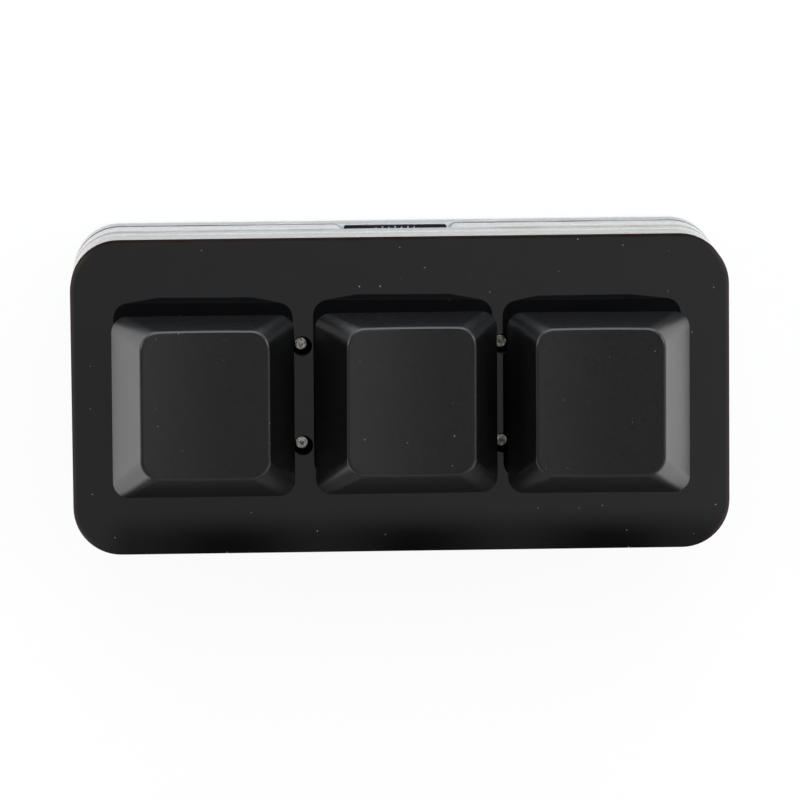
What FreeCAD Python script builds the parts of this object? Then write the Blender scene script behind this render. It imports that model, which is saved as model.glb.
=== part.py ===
"""Three-key mini keypad: a stack of acrylic layers, two circuit boards, three key switches and caps.

Frame: +X runs along the row of keys, +Y points to the side with the socket, +Z is up.
The origin lies on the table, under the middle of the case. All lengths are millimetres.
"""

import FreeCAD, Part
import Sketcher
import math
import os
import re

V = FreeCAD.Vector
os.makedirs("parts", exist_ok=True)
doc = FreeCAD.newDocument("MiniKeypad")

# Driving dimensions, one group for each part of the object.
SIZES = {
    # Case layers, from the table up
    "case_width": 65.8,
    "case_depth": 31.4,
    "case_corner": 4.8,
    "wall": 3.0,
    "inner_corner": 2.0,
    "foot_height": 1.5,
    "foot_radius": 3.0,
    "foot_inset": 4.9,
    "foot_edge": 0.4,
    "bottom_layer": 3.0,
    "middle_layer": 5.0,
    "upper_layer": 8.0,
    "top_layer": 3.0,
    "port_gap_width": 10.6,
    "port_gap_corner": 1.0,
    # Keys and their places
    "middle_key_x": 0.4,
    "left_pitch": 20.05,
    "right_pitch": 19.05,
    "key_travel": 4.0,
    "press_gap": 0.6,
    # Screws, spacers and their holes
    "screw_middle_x": 0.05,
    "screw_middle_y": 0.23,
    "screw_spacing_x": 20.0,
    "screw_spacing_y": 10.0,
    "screw_radius": 0.98,
    "screw_length": 16.0,
    "screw_tip_radius": 0.65,
    "tapped_radius": 1.0,
    "clear_radius": 1.1,
    "head_radius": 1.9,
    "head_height": 1.3,
    "head_seat_depth": 1.4,
    "head_seat_radius": 2.1,
    "drive_width": 0.5,
    "drive_depth": 0.7,
    "drive_span": 2.2,
    "spacer_radius": 2.0,
    # Switch lower housing
    "base_size": 13.9,
    "base_fit": 0.05,
    "base_drop": 5.0,
    "base_wall": 1.2,
    "flange_size": 15.6,
    "flange_height": 1.0,
    "pole_radius": 2.0,
    "pole_length": 3.2,
    "tube_radius": 1.7,
    "tube_height": 2.6,
    "guide_radius": 1.0,
    "guide_clearance": 0.05,
    # Switch upper housing
    "cover_height": 5.5,
    "cover_top_x": 11.4,
    "cover_top_y": 10.4,
    "cover_wall": 1.0,
    "stem_clearance": 0.1,
    # Switch stem and spring
    "stem_x": 7.1,
    "stem_y": 5.7,
    "stem_start": 1.0,
    "stem_shoulder": 6.4,
    "wing_span": 9.2,
    "wing_depth": 3.0,
    "cup_radius": 2.5,
    "cup_roof": 1.2,
    "guide_tip": 2.4,
    "cross_span": 4.0,
    "cross_thick": 1.3,
    "cross_thin": 1.1,
    "cross_height": 3.6,
    "spring_radius": 2.1,
    "spring_wire": 0.15,
    "spring_turns": 9,
    # Switch contacts
    "blade_thick": 0.3,
    "fixed_blade_x": 2.54,
    "fixed_blade_y": 5.08,
    "moving_blade_x": -3.81,
    "moving_blade_y": 4.3,
    "blade_width": 3.0,
    "blade_height": 3.9,
    "pin_width": 1.0,
    "pin_length": 3.2,
    "pin_hole_radius": 0.75,
    # Key cap
    "cap_size": 18.1,
    "cap_side_inset": 2.82,
    "cap_back_inset": 0.65,
    "cap_front_inset": 2.97,
    "cap_corner": 1.6,
    "cap_top_corner": 1.9,
    "cap_wall": 1.4,
    "cap_cavity": 6.6,
    "cap_rim_height": 8.9,
    "cap_trim": 0.3,
    "cap_tilt": 3.9,
    "dish_radius": 45.0,
    "dish_half_width": 6.2,
    "post_radius": 2.7,
    "post_gap": 0.1,
    "socket_clearance": 0.03,
    "rib_thick": 0.8,
    "rib_height": 1.3,
    # Circuit boards
    "board_gap": 0.4,
    "switch_board_thick": 1.6,
    "board_corner": 1.6,
    "controller_board_thick": 1.0,
    "controller_width": 27.0,
    "controller_front": 8.0,
    "controller_corner": 0.8,
    # Pins between the boards
    "link_count": 4,
    "link_pitch": 1.27,
    "link_pin_width": 0.46,
    "link_hole_radius": 0.4,
    "link_inset": 2.2,
    "link_body_depth": 2.1,
    "link_body_height": 2.0,
    "link_pin_rise": 0.4,
    # Socket
    "port_width": 8.94,
    "port_height": 3.2,
    "port_depth": 7.3,
    "port_wall": 0.3,
    "port_setback": 0.5,
    "port_round": 1.5,
    "tongue_width": 6.7,
    "tongue_thick": 0.7,
    "tongue_length": 4.4,
    "tongue_base": 1.6,
    "tongue_fit": 0.05,
    "contact_count": 12,
    "contact_pitch": 0.5,
    "contact_width": 0.25,
    "contact_thick": 0.05,
    "contact_length": 3.4,
    # Parts soldered to the boards
    "chip_length": 10.0,
    "chip_width": 3.9,
    "chip_height": 1.4,
    "chip_y": 0.5,
    "lead_count": 8,
    "lead_pitch": 1.27,
    "lead_width": 0.4,
    "lead_reach": 1.0,
    "lead_thick": 0.2,
    "crystal_length": 3.2,
    "crystal_width": 2.5,
    "crystal_height": 0.8,
    "crystal_y": -4.6,
    "small_length": 1.6,
    "small_width": 0.8,
    "small_height": 0.6,
    "small_y": 4.6,
    "small_pitch": 2.4,
    "diode_length": 2.7,
    "diode_width": 1.6,
    "diode_height": 1.1,
    "diode_y": -8.5,
}

sheet = doc.addObject("Spreadsheet::Sheet", "Sizes")
for row, (alias, number) in enumerate(SIZES.items(), start=1):
    sheet.set(f"A{row}", alias.replace("_", " "))
    sheet.set(f"B{row}", str(number))
    sheet.setAlias(f"B{row}", alias)
doc.recompute()

# Levels that follow from the layers, measured up from the table
BOTTOM_LEVEL = "foot_height"
MIDDLE_LEVEL = "(foot_height + bottom_layer)"
UPPER_LEVEL = "(foot_height + bottom_layer + middle_layer)"
TOP_LEVEL = "(foot_height + bottom_layer + middle_layer + upper_layer)"
KEY_LEVEL = "(foot_height + bottom_layer + middle_layer + upper_layer + top_layer)"
SWITCH_BOARD_TOP = f"({KEY_LEVEL} - base_drop)"
SWITCH_BOARD_FOOT = f"({SWITCH_BOARD_TOP} - switch_board_thick)"
CONTROLLER_TOP = UPPER_LEVEL
CONTROLLER_FOOT = f"({CONTROLLER_TOP} - controller_board_thick)"
HEAD_SEAT = "(foot_height + head_seat_depth)"

# Heights above the top plate that follow from the travel of a key
SWITCH_FLOOR = "(stem_start - key_travel - press_gap)"
FLOOR_THICK = f"(base_drop + {SWITCH_FLOOR})"
CAP_LIFT = "(flange_height + key_travel + press_gap)"

# Places that several pieces share
INNER_X = "(case_width - 2 * wall)"
INNER_Y = "(case_depth - 2 * wall)"
KEYS = {
    "left": "(middle_key_x - left_pitch)",
    "middle": "middle_key_x",
    "right": "(middle_key_x + right_pitch)",
}
SCREW_XY = [
    (f"(screw_middle_x + {side_x} * screw_spacing_x / 2)",
     f"(screw_middle_y + {side_y} * screw_spacing_y / 2)")
    for side_x in (-1, 1)
    for side_y in (-1, 1)
]
LINK_X = [
    f"({index} - (link_count - 1) / 2) * link_pitch" for index in range(SIZES["link_count"])
]
LINK_Y = f"({INNER_Y} / 2 - link_inset)"


def cell(text):
    """Turns plain names of sizes into references to the sheet's cells."""
    return re.sub(r"[a-z_]+", lambda m: "Sizes." + m[0] if m[0] in SIZES else m[0], str(text))


def bind(item, **expressions):
    """Binds properties to sizes; a double underscore in a name stands for a point."""
    for name, text in expressions.items():
        item.setExpression(name.replace("__", "."), cell(text))


def place(item, x="0", y="0", z="0"):
    """Puts an object at x, y and z, each an expression of sizes."""
    bind(item, Placement__Base__x=x, Placement__Base__y=y, Placement__Base__z=z)


def new_body(label, x="0", y="0", z="0"):
    """Makes a body that lies at x, y and z."""
    body = doc.addObject("PartDesign::Body", label)
    body.Label = label
    place(body, x, y, z)
    return body


def flat_sketch(body, name, x="0", y="0", z="0", tilt=None):
    """Makes an empty sketch that faces up at x, y and z in the body; a tilt lifts its back."""
    sketch = body.newObject("Sketcher::SketchObject", name)
    ground = [plane for plane in body.Origin.OriginFeatures if plane.Role == "XY_Plane"][0]
    sketch.AttachmentSupport = [(ground, "")]
    sketch.MapMode = "FlatFace"
    if tilt:
        sketch.AttachmentOffset = FreeCAD.Placement(V(), FreeCAD.Rotation(V(1, 0, 0), 1))
        bind(sketch, AttachmentOffset__Rotation__Angle=tilt)
    bind(
        sketch,
        AttachmentOffset__Base__x=x,
        AttachmentOffset__Base__y=y,
        AttachmentOffset__Base__z=z,
    )
    return sketch


def dimension(sketch, name, kind, *arguments, size):
    """Adds a named dimension to a sketch and binds it to a size."""
    index = sketch.addConstraint(Sketcher.Constraint(kind, *arguments))
    sketch.renameConstraint(index, name)
    sketch.setExpression("Constraints." + name, cell(size))


def rectangle(body, name, size_x, size_y, **at):
    """Sketches a rectangle that is centred on its sketch."""
    sketch = flat_sketch(body, name, **at)
    corners = [V(-1, -1, 0), V(1, -1, 0), V(1, 1, 0), V(-1, 1, 0)]
    for start, end in zip(corners, corners[1:] + corners[:1]):
        sketch.addGeometry(Part.LineSegment(start, end))
    for side in range(4):
        sketch.addConstraint(Sketcher.Constraint("Coincident", side, 2, (side + 1) % 4, 1))
        sketch.addConstraint(Sketcher.Constraint("Vertical" if side % 2 else "Horizontal", side))
    sketch.addConstraint(Sketcher.Constraint("Symmetric", 0, 1, 1, 2, -1, 1))
    dimension(sketch, "size_x", "DistanceX", 0, 1, 0, 2, 2.0, size=size_x)
    dimension(sketch, "size_y", "DistanceY", 1, 1, 1, 2, 2.0, size=size_y)
    return sketch


def rounded_rectangle(body, name, size_x, size_y, corner, **at):
    """Sketches a rectangle with round corners that is centred on its sketch."""
    sketch = flat_sketch(body, name, **at)
    half, bend = 6.0, 1.5
    for turn in range(4):
        way = FreeCAD.Rotation(V(0, 0, 1), 90 * turn)
        start = way.multVec(V(bend - half, -half, 0))
        end = way.multVec(V(half - bend, -half, 0))
        centre = way.multVec(V(half - bend, bend - half, 0))
        first = math.radians(90 * turn - 90)
        sketch.addGeometry(Part.LineSegment(start, end))
        circle = Part.Circle(centre, V(0, 0, 1), bend)
        sketch.addGeometry(Part.ArcOfCircle(circle, first, first + math.pi / 2))
    for index in range(8):
        sketch.addConstraint(Sketcher.Constraint("Tangent", index, 2, (index + 1) % 8, 1))
    for index in range(0, 8, 2):
        kind = "Vertical" if index % 4 else "Horizontal"
        sketch.addConstraint(Sketcher.Constraint(kind, index))
    for index in (3, 5, 7):
        sketch.addConstraint(Sketcher.Constraint("Equal", 1, index))
    sketch.addConstraint(Sketcher.Constraint("Symmetric", 1, 3, 5, 3, -1, 1))
    dimension(sketch, "size_x", "DistanceX", 6, 1, 2, 1, 2 * half, size=size_x)
    dimension(sketch, "size_y", "DistanceY", 0, 1, 4, 1, 2 * half, size=size_y)
    dimension(sketch, "corner", "Radius", 1, bend, size=corner)
    return sketch


def circles(body, name, radius, centres, **at):
    """Sketches one circle for each pair in centres, all of one radius."""
    sketch = flat_sketch(body, name, **at)
    for index, (x, y) in enumerate(centres):
        sketch.addGeometry(Part.Circle(V(0.1 * index, 0.1 * index, 0), V(0, 0, 1), 1.0))
        for letter, kind, axis, size in (("x", "DistanceX", -2, x), ("y", "DistanceY", -1, y)):
            if size == "0":
                sketch.addConstraint(Sketcher.Constraint("PointOnObject", index, 3, axis))
            else:
                dimension(sketch, f"{letter}{index}", kind, -1, 1, index, 3, 0.1, size=size)
        dimension(sketch, f"radius{index}", "Radius", index, 1.0, size=radius)
    return sketch


def extrude(body, name, sketch, length):
    """Pads a sketch upwards."""
    pad = body.newObject("PartDesign::Pad", name)
    pad.Profile = sketch
    bind(pad, Length=length)
    return pad


def cut(body, name, sketch, length):
    """Cuts a sketch upwards into the body, and makes sure that it removed something."""
    doc.recompute()
    before = body.Shape.Volume
    pocket = body.newObject("PartDesign::Pocket", name)
    pocket.Profile = sketch
    pocket.Reversed = True
    bind(pocket, Length=length)
    doc.recompute()
    if not body.Shape.Volume < before:
        raise RuntimeError(f"{body.Label}: {name} removed nothing")
    return pocket


def solid(body, kind, name, x="0", y="0", z="0", **sizes):
    """Adds or takes away a box or cylinder, its corner or base centre at x, y and z."""
    feature = body.newObject("PartDesign::" + kind, name)
    bind(feature, **sizes)
    place(feature, x, y, z)
    return feature


def block(body, kind, name, size_x, size_y, height, x="0", y="0", z="0"):
    """Adds or takes away a box that is centred on x and y and stands on z."""
    return solid(
        body, kind, name, f"{x} - ({size_x}) / 2", f"{y} - ({size_y}) / 2", z,
        Length=size_x, Width=size_y, Height=height,
    )


def round_edges(body, name, radius, chosen):
    """Rounds the edges that chosen picks from the body's shape so far."""
    doc.recompute()
    base = body.Tip
    names = [f"Edge{i}" for i, edge in enumerate(base.Shape.Edges, start=1) if chosen(edge)]
    if not names:
        raise RuntimeError(f"{body.Label}: {name} found no edges")
    fillet = body.newObject("PartDesign::Fillet", name)
    fillet.Base = (base, names)
    bind(fillet, Radius=radius)
    return fillet


def runs_along(edge, axis):
    """Says whether an edge is straight and parallel to an axis."""
    if edge.Curve.TypeId != "Part::GeomLine":
        return False
    way = edge.Vertexes[1].Point - edge.Vertexes[0].Point
    return way.normalize().cross(axis).Length < 0.001


def upright(edge):
    """Says whether an edge is straight and vertical."""
    return runs_along(edge, V(0, 0, 1))


def group(label, pieces):
    """Joins separate solids in one node without fusing them."""
    compound = doc.addObject("Part::Compound", label)
    compound.Label = label
    compound.Links = pieces
    return compound


def small_box(name, size_x, size_y, height, x="0", y="0", z="0"):
    """Makes a box of its own, centred on x and y and standing on z."""
    box = doc.addObject("Part::Box", name)
    bind(box, Length=size_x, Width=size_y, Height=height)
    place(box, f"{x} - ({size_x}) / 2", f"{y} - ({size_y}) / 2", z)
    return box


def small_cylinder(name, radius, height, x="0", y="0", z="0"):
    """Makes a cylinder of its own that stands on z."""
    cylinder = doc.addObject("Part::Cylinder", name)
    bind(cylinder, Radius=radius, Height=height)
    place(cylinder, x, y, z)
    return cylinder


def difference(name, base, tool):
    """Cuts one solid out of another."""
    result = doc.addObject("Part::Cut", name)
    result.Base = base
    result.Tool = tool
    return result


def fusion(name, pieces):
    """Fuses solids into one."""
    result = doc.addObject("Part::MultiFuse", name)
    result.Shapes = pieces
    return result


def layer(label, level, thickness):
    """Makes one flat layer of the case with its round corners."""
    body = new_body(label, z=level)
    extrude(body, label + "_sheet", rectangle(body, label + "_outline", "case_width", "case_depth"),
            thickness)
    round_edges(body, label + "_corners", "case_corner", upright)
    return body


def inner_upright(edge):
    """Says whether an upright edge is a corner of a layer's inner opening."""
    point = edge.CenterOfMass
    room_x = SIZES["case_width"] / 2 - SIZES["wall"] + 0.01
    room_y = SIZES["case_depth"] / 2 - SIZES["wall"] + 0.01
    return upright(edge) and abs(point.x) < room_x and abs(point.y) < room_y


def open_middle(body, label, thickness):
    """Cuts the large opening that makes a layer into a frame."""
    cut(body, label + "_opening", rectangle(body, label + "_inside", INNER_X, INNER_Y), thickness)
    round_edges(body, label + "_inner_corners", "inner_corner", inner_upright)


def make_top_plate():
    """Makes the layer that carries the switches in square openings and takes the screws."""
    body = layer("top_plate", TOP_LEVEL, "top_layer")
    opening = "base_size + 2 * base_fit"
    for side, x in KEYS.items():
        square = rectangle(body, f"{side}_square", opening, opening, x=x)
        cut(body, f"{side}_opening", square, "top_layer")
    holes = circles(body, "screw_circles", "tapped_radius", SCREW_XY)
    cut(body, "tapped_holes", holes, "top_layer")
    return body


def make_upper_frame():
    """Makes the thick clear frame around the switch board."""
    body = layer("upper_frame", UPPER_LEVEL, "upper_layer")
    open_middle(body, "upper_frame", "upper_layer")
    return body


def make_middle_frame():
    """Makes the clear frame with the gap for the socket in its back wall."""
    body = layer("middle_frame", MIDDLE_LEVEL, "middle_layer")
    open_middle(body, "middle_frame", "middle_layer")
    gap = rectangle(body, "port_gap", "port_gap_width", "2 * wall", y="case_depth / 2 - wall / 2")
    cut(body, "port_gap_cut", gap, "middle_layer")

    def beside_gap(edge):
        point = edge.CenterOfMass
        near = abs(abs(point.x) - SIZES["port_gap_width"] / 2) < 0.01
        return upright(edge) and near and point.y > SIZES["case_depth"] / 2 - 0.01

    round_edges(body, "port_gap_corners", "port_gap_corner", beside_gap)
    return body


def make_bottom_plate():
    """Makes the clear floor with sunk seats for the screw heads."""
    body = layer("bottom_plate", BOTTOM_LEVEL, "bottom_layer")
    cut(body, "screw_holes", circles(body, "hole_circles", "clear_radius", SCREW_XY),
        "bottom_layer")
    cut(body, "head_seats", circles(body, "seat_circles", "head_seat_radius", SCREW_XY),
        "head_seat_depth")
    return body


def make_screws():
    """Makes the four screws that come up through every layer into the top plate."""
    screws = []
    for index, (x, y) in enumerate(SCREW_XY):
        tip = "(screw_radius - screw_tip_radius)"
        shank = small_cylinder(f"shank{index}", "screw_radius", f"screw_length - {tip}", x, y,
                               HEAD_SEAT)
        point = doc.addObject("Part::Cone", f"point{index}")
        bind(point, Radius1="screw_radius", Radius2="screw_tip_radius", Height=tip)
        place(point, x, y, f"{HEAD_SEAT} + screw_length - {tip}")
        head = small_cylinder(f"head{index}", "head_radius", "head_height", x, y,
                              f"{HEAD_SEAT} - head_height")
        body = fusion(f"screw_body{index}", [shank, point, head])
        foot = f"{HEAD_SEAT} - head_height"
        slots = [
            small_box(f"drive_x{index}", "drive_span", "drive_width", "drive_depth", x, y, foot),
            small_box(f"drive_y{index}", "drive_width", "drive_span", "drive_depth", x, y, foot),
        ]
        screws.append(difference(f"screw{index}", body, fusion(f"drive{index}", slots)))
    return group("case_screws", screws)


def make_feet():
    """Makes the four soft feet under the corners, each with a bevelled lower edge."""
    feet = []
    for index, (side_x, side_y) in enumerate(((-1, -1), (-1, 1), (1, -1), (1, 1))):
        x = f"{side_x} * (case_width / 2 - foot_inset)"
        y = f"{side_y} * (case_depth / 2 - foot_inset)"
        cone = doc.addObject("Part::Cone", f"foot_edge{index}")
        bind(cone, Radius1="foot_radius - foot_edge", Radius2="foot_radius", Height="foot_edge")
        place(cone, x, y, "0")
        disc = small_cylinder(f"foot_disc{index}", "foot_radius", "foot_height - foot_edge", x, y,
                              "foot_edge")
        feet.append(fusion(f"foot{index}", [cone, disc]))
    return group("rubber_feet", feet)


def make_spacers(label, start, end):
    """Makes four tubes around the screws between two levels."""
    tubes = []
    for index, (x, y) in enumerate(SCREW_XY):
        height = f"{end} - {start}"
        outer = small_cylinder(f"{label}_outer{index}", "spacer_radius", height, x, y, start)
        inner = small_cylinder(f"{label}_inner{index}", "clear_radius", height, x, y, start)
        tubes.append(difference(f"{label}_tube{index}", outer, inner))
    return group(label, tubes)


def make_switch_board():
    """Makes the board under the switches, with holes for their poles and pins."""
    body = new_body("switch_board", z=SWITCH_BOARD_FOOT)
    thick = "switch_board_thick"
    outline = rectangle(body, "switch_board_outline", f"{INNER_X} - 2 * board_gap",
                        f"{INNER_Y} - 2 * board_gap")
    extrude(body, "switch_board_sheet", outline, thick)
    round_edges(body, "switch_board_corners", "board_corner", upright)
    poles = [(x, "0") for x in KEYS.values()]
    cut(body, "pole_holes", circles(body, "pole_circles", "pole_radius + board_gap / 4", poles),
        thick)
    pins = []
    for x in KEYS.values():
        pins.append((f"({x} + fixed_blade_x)", "fixed_blade_y"))
        pins.append((f"({x} + moving_blade_x)", "moving_blade_y"))
    cut(body, "pin_holes", circles(body, "pin_circles", "pin_hole_radius", pins), thick)
    cut(body, "screw_holes", circles(body, "screw_circles", "clear_radius", SCREW_XY), thick)
    link = circles(body, "link_circles", "link_hole_radius", [(x, LINK_Y) for x in LINK_X])
    cut(body, "link_holes", link, thick)
    return body


def make_controller_board():
    """Makes the lower board, which carries the socket and the controller chip."""
    back = f"({INNER_Y} / 2 - board_gap)"
    body = new_body("controller_board", z=CONTROLLER_FOOT)
    outline = rectangle(body, "controller_outline", "controller_width",
                        f"controller_front + {back}", y=f"({back} - controller_front) / 2")
    extrude(body, "controller_sheet", outline, "controller_board_thick")
    round_edges(body, "controller_corners", "controller_corner", upright)
    holes = circles(body, "controller_circles", "clear_radius", SCREW_XY)
    cut(body, "controller_holes", holes, "controller_board_thick")
    return body


def make_link():
    """Makes the strip of pins that joins the two boards."""
    strip = new_body("link_strip", y=LINK_Y, z=CONTROLLER_TOP)
    block(strip, "AdditiveBox", "strip_block", "link_count * link_pitch", "link_body_depth",
          "link_body_height")
    for index, x in enumerate(LINK_X):
        block(strip, "SubtractiveBox", f"strip_hole{index}", "link_pin_width", "link_pin_width",
              "link_body_height", x)
    height = f"{SWITCH_BOARD_TOP} + link_pin_rise - {CONTROLLER_TOP}"
    pins = [
        small_box(f"link_pin{index}", "link_pin_width", "link_pin_width", height, x, LINK_Y,
                  CONTROLLER_TOP)
        for index, x in enumerate(LINK_X)
    ]
    return [strip, group("link_pins", pins)]


def make_port():
    """Makes the socket: its steel shell, the plastic tongue and the contacts on the tongue."""
    front = "(case_depth / 2 - port_setback)"
    foot = f"({CONTROLLER_FOOT} - port_height)"
    middle = f"({CONTROLLER_FOOT} - port_height / 2)"
    depth_y = V(0, 1, 0)

    shell = new_body("port_shell", y=f"{front} - port_depth / 2", z=foot)
    block(shell, "AdditiveBox", "shell_block", "port_width", "port_depth", "port_height")
    block(shell, "SubtractiveBox", "shell_room", "port_width - 2 * port_wall",
          "port_depth - port_wall", "port_height - 2 * port_wall", y="port_wall / 2",
          z="port_wall")
    half_width = SIZES["port_width"] / 2

    def along_at(edge, x):
        return runs_along(edge, depth_y) and abs(abs(edge.CenterOfMass.x) - x) < 0.01

    round_edges(shell, "shell_inner_round", "port_round - port_wall",
                lambda edge: along_at(edge, half_width - SIZES["port_wall"]))
    round_edges(shell, "shell_round", "port_round", lambda edge: along_at(edge, half_width))

    tongue = new_body("port_tongue", y=f"{front} - port_depth + port_wall", z=middle)
    base_width = "(port_width - 2 * port_round)"
    base_height = "(port_height - 2 * port_wall - 2 * tongue_fit)"
    block(tongue, "AdditiveBox", "tongue_foot", base_width, "tongue_base", base_height,
          y="tongue_base / 2", z=f"0 - {base_height} / 2")
    block(tongue, "AdditiveBox", "tongue_blade", "tongue_width", "tongue_length", "tongue_thick",
          y="tongue_base + tongue_length / 2", z="0 - tongue_thick / 2")

    contacts = []
    for index in range(SIZES["contact_count"]):
        x = f"({index} - (contact_count - 1) / 2) * contact_pitch"
        y = f"{front} - port_depth + port_wall + tongue_base + contact_length / 2"
        levels = {"upper": "tongue_thick / 2", "lower": "0 - tongue_thick / 2 - contact_thick"}
        for side, z in levels.items():
            contacts.append(small_box(f"{side}_contact{index}", "contact_width",
                                      "contact_length", "contact_thick", x, y,
                                      f"{middle} + {z}"))
    return [shell, tongue, group("port_contacts", contacts)]


def make_soldered_parts():
    """Makes the chip, crystal and small parts under the controller board, and the diodes."""
    pieces = []
    chip = new_body("controller_chip", x="screw_middle_x", y="chip_y",
                    z=f"{CONTROLLER_FOOT} - chip_height")
    block(chip, "AdditiveBox", "chip_block", "chip_length", "chip_width", "chip_height")
    pieces.append(chip)

    leads = []
    for index in range(SIZES["lead_count"]):
        x = f"screw_middle_x + ({index} - (lead_count - 1) / 2) * lead_pitch"
        for side in (-1, 1):
            y = f"chip_y + {side} * (chip_width / 2 + lead_reach / 2)"
            leads.append(small_box(f"lead{index}_{side + 1}", "lead_width", "lead_reach",
                                   "lead_thick", x, y, f"{CONTROLLER_FOOT} - lead_thick"))
    pieces.append(group("chip_leads", leads))

    crystal = new_body("crystal", x="screw_middle_x", y="crystal_y",
                       z=f"{CONTROLLER_FOOT} - crystal_height")
    block(crystal, "AdditiveBox", "crystal_can", "crystal_length", "crystal_width",
          "crystal_height")
    pieces.append(crystal)

    rows = {"capacitors": "small_y", "resistors": "(0 - small_y - small_width)"}
    for label, y in rows.items():
        places = (-1.5, -0.5, 0.5, 1.5) if label == "capacitors" else (-2, -1.4, 1.4, 2)
        parts = [
            small_box(f"{label}{index}", "small_width", "small_length", "small_height",
                      f"screw_middle_x + {step} * small_pitch", y,
                      f"{CONTROLLER_FOOT} - small_height")
            for index, step in enumerate(places)
        ]
        pieces.append(group(label, parts))

    diodes = [
        small_box(f"diode_{side}", "diode_length", "diode_width", "diode_height", x, "diode_y",
                  f"{SWITCH_BOARD_FOOT} - diode_height")
        for side, x in KEYS.items()
    ]
    pieces.append(group("diodes", diodes))
    return pieces


def make_switch_base(side, x):
    """Makes a switch's lower housing: shell, flange, centre pole and spring tube."""
    body = new_body("switch_base_" + side, x=x, z=KEY_LEVEL)
    inside = "(base_size - 2 * base_wall)"
    extrude(body, "base_block_" + side,
            rectangle(body, "base_outline_" + side, "base_size", "base_size", z="0 - base_drop"),
            "base_drop")
    extrude(body, "flange_" + side,
            rectangle(body, "flange_outline_" + side, "flange_size", "flange_size"),
            "flange_height")
    cut(body, "base_room_" + side,
        rectangle(body, "base_inside_" + side, inside, inside, z=SWITCH_FLOOR),
        f"flange_height - {SWITCH_FLOOR}")
    solid(body, "AdditiveCylinder", "pole_" + side, z="0 - base_drop - pole_length",
          Radius="pole_radius", Height=f"pole_length + {FLOOR_THICK} / 2")
    solid(body, "AdditiveCylinder", "tube_" + side, z=f"{SWITCH_FLOOR} - {FLOOR_THICK} / 2",
          Radius="tube_radius", Height=f"tube_height + {FLOOR_THICK} / 2")
    bore_start = "(0 - guide_tip - key_travel - press_gap)"
    solid(body, "SubtractiveCylinder", "guide_bore_" + side, z=bore_start,
          Radius="guide_radius + guide_clearance", Height=f"{SWITCH_FLOOR} + tube_height - {bore_start}")
    for name in ("fixed", "moving"):
        block(body, "SubtractiveBox", f"{name}_slot_{side}", "pin_width + 2 * base_fit",
              "blade_thick + 2 * base_fit", FLOOR_THICK, f"{name}_blade_x", f"{name}_blade_y",
              "0 - base_drop")
    return body


def loft(body, kind, name, lower, upper):
    """Joins two sketches with straight walls, as a solid or as a cut."""
    feature = body.newObject("PartDesign::" + kind, name)
    feature.Profile = lower
    feature.Sections = [upper]
    feature.Ruled = True
    return feature


def make_switch_cover(side, x):
    """Makes a switch's tapering upper housing with the opening for the stem."""
    body = new_body("switch_cover_" + side, x=x, z=f"{KEY_LEVEL} + flange_height")
    roof = "(cover_height - cover_wall)"
    inside = "(base_size - 2 * base_wall)"
    loft(body, "AdditiveLoft", "cover_block_" + side,
         rectangle(body, "cover_foot_" + side, "base_size", "base_size"),
         rectangle(body, "cover_top_" + side, "cover_top_x", "cover_top_y", z="cover_height"))
    loft(body, "SubtractiveLoft", "cover_room_" + side,
         rectangle(body, "room_foot_" + side, inside, inside),
         rectangle(body, "room_top_" + side, "cover_top_x - 1.6 * cover_wall",
                   "cover_top_y - 1.6 * cover_wall", z=roof))
    opening = rectangle(body, "stem_outline_" + side, "stem_x + 2 * stem_clearance",
                        "stem_y + 2 * stem_clearance", z=roof)
    cut(body, "stem_opening_" + side, opening, "cover_wall")
    return body


def make_switch_stem(side, x):
    """Makes the moving stem: slider, wings, spring cup, guide pole and cross."""
    body = new_body("switch_stem_" + side, x=x, z=KEY_LEVEL)
    height = "(stem_shoulder - stem_start)"
    cup_top = "(stem_shoulder - cup_roof)"
    block(body, "AdditiveBox", "slider_" + side, "stem_x", "stem_y", height, z="stem_start")
    wing_height = "(flange_height + cover_height - cover_wall - stem_clearance - stem_start)"
    block(body, "AdditiveBox", "wings_" + side, "wing_span", "wing_depth", wing_height,
          z="stem_start")
    solid(body, "SubtractiveCylinder", "cup_" + side, z="stem_start", Radius="cup_radius",
          Height=f"{cup_top} - stem_start")
    solid(body, "AdditiveCylinder", "guide_" + side, z="0 - guide_tip", Radius="guide_radius",
          Height=f"{cup_top} + cup_roof / 2 + guide_tip")
    block(body, "AdditiveBox", "cross_x_" + side, "cross_span", "cross_thick", "cross_height",
          z="stem_shoulder")
    block(body, "AdditiveBox", "cross_y_" + side, "cross_thin", "cross_span", "cross_height",
          z="stem_shoulder")
    return body


def arc_pair(start, way_out, end, way_in):
    """Joins two points and their directions with two arcs that meet smoothly."""
    span = end - start
    ways = way_out + way_in
    slack = 4 - ways.dot(ways)
    reach = (math.sqrt(span.dot(ways) ** 2 + slack * span.dot(span)) - span.dot(ways)) / slack
    first, last = start + way_out * reach, end - way_in * reach
    joint = (first + last) * 0.5
    arcs = []
    for low, corner, high in ((start, first, joint), (joint, last, end)):
        chord_middle = (low + high) * 0.5
        half_chord = (high - low).Length / 2
        to_corner = corner - chord_middle
        bulge = half_chord * math.tan(math.atan2(to_corner.Length, half_chord) / 2)
        crown = chord_middle + to_corner.normalize() * bulge
        arcs.append(Part.Arc(low, crown, high).toShape())
    return arcs


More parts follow.
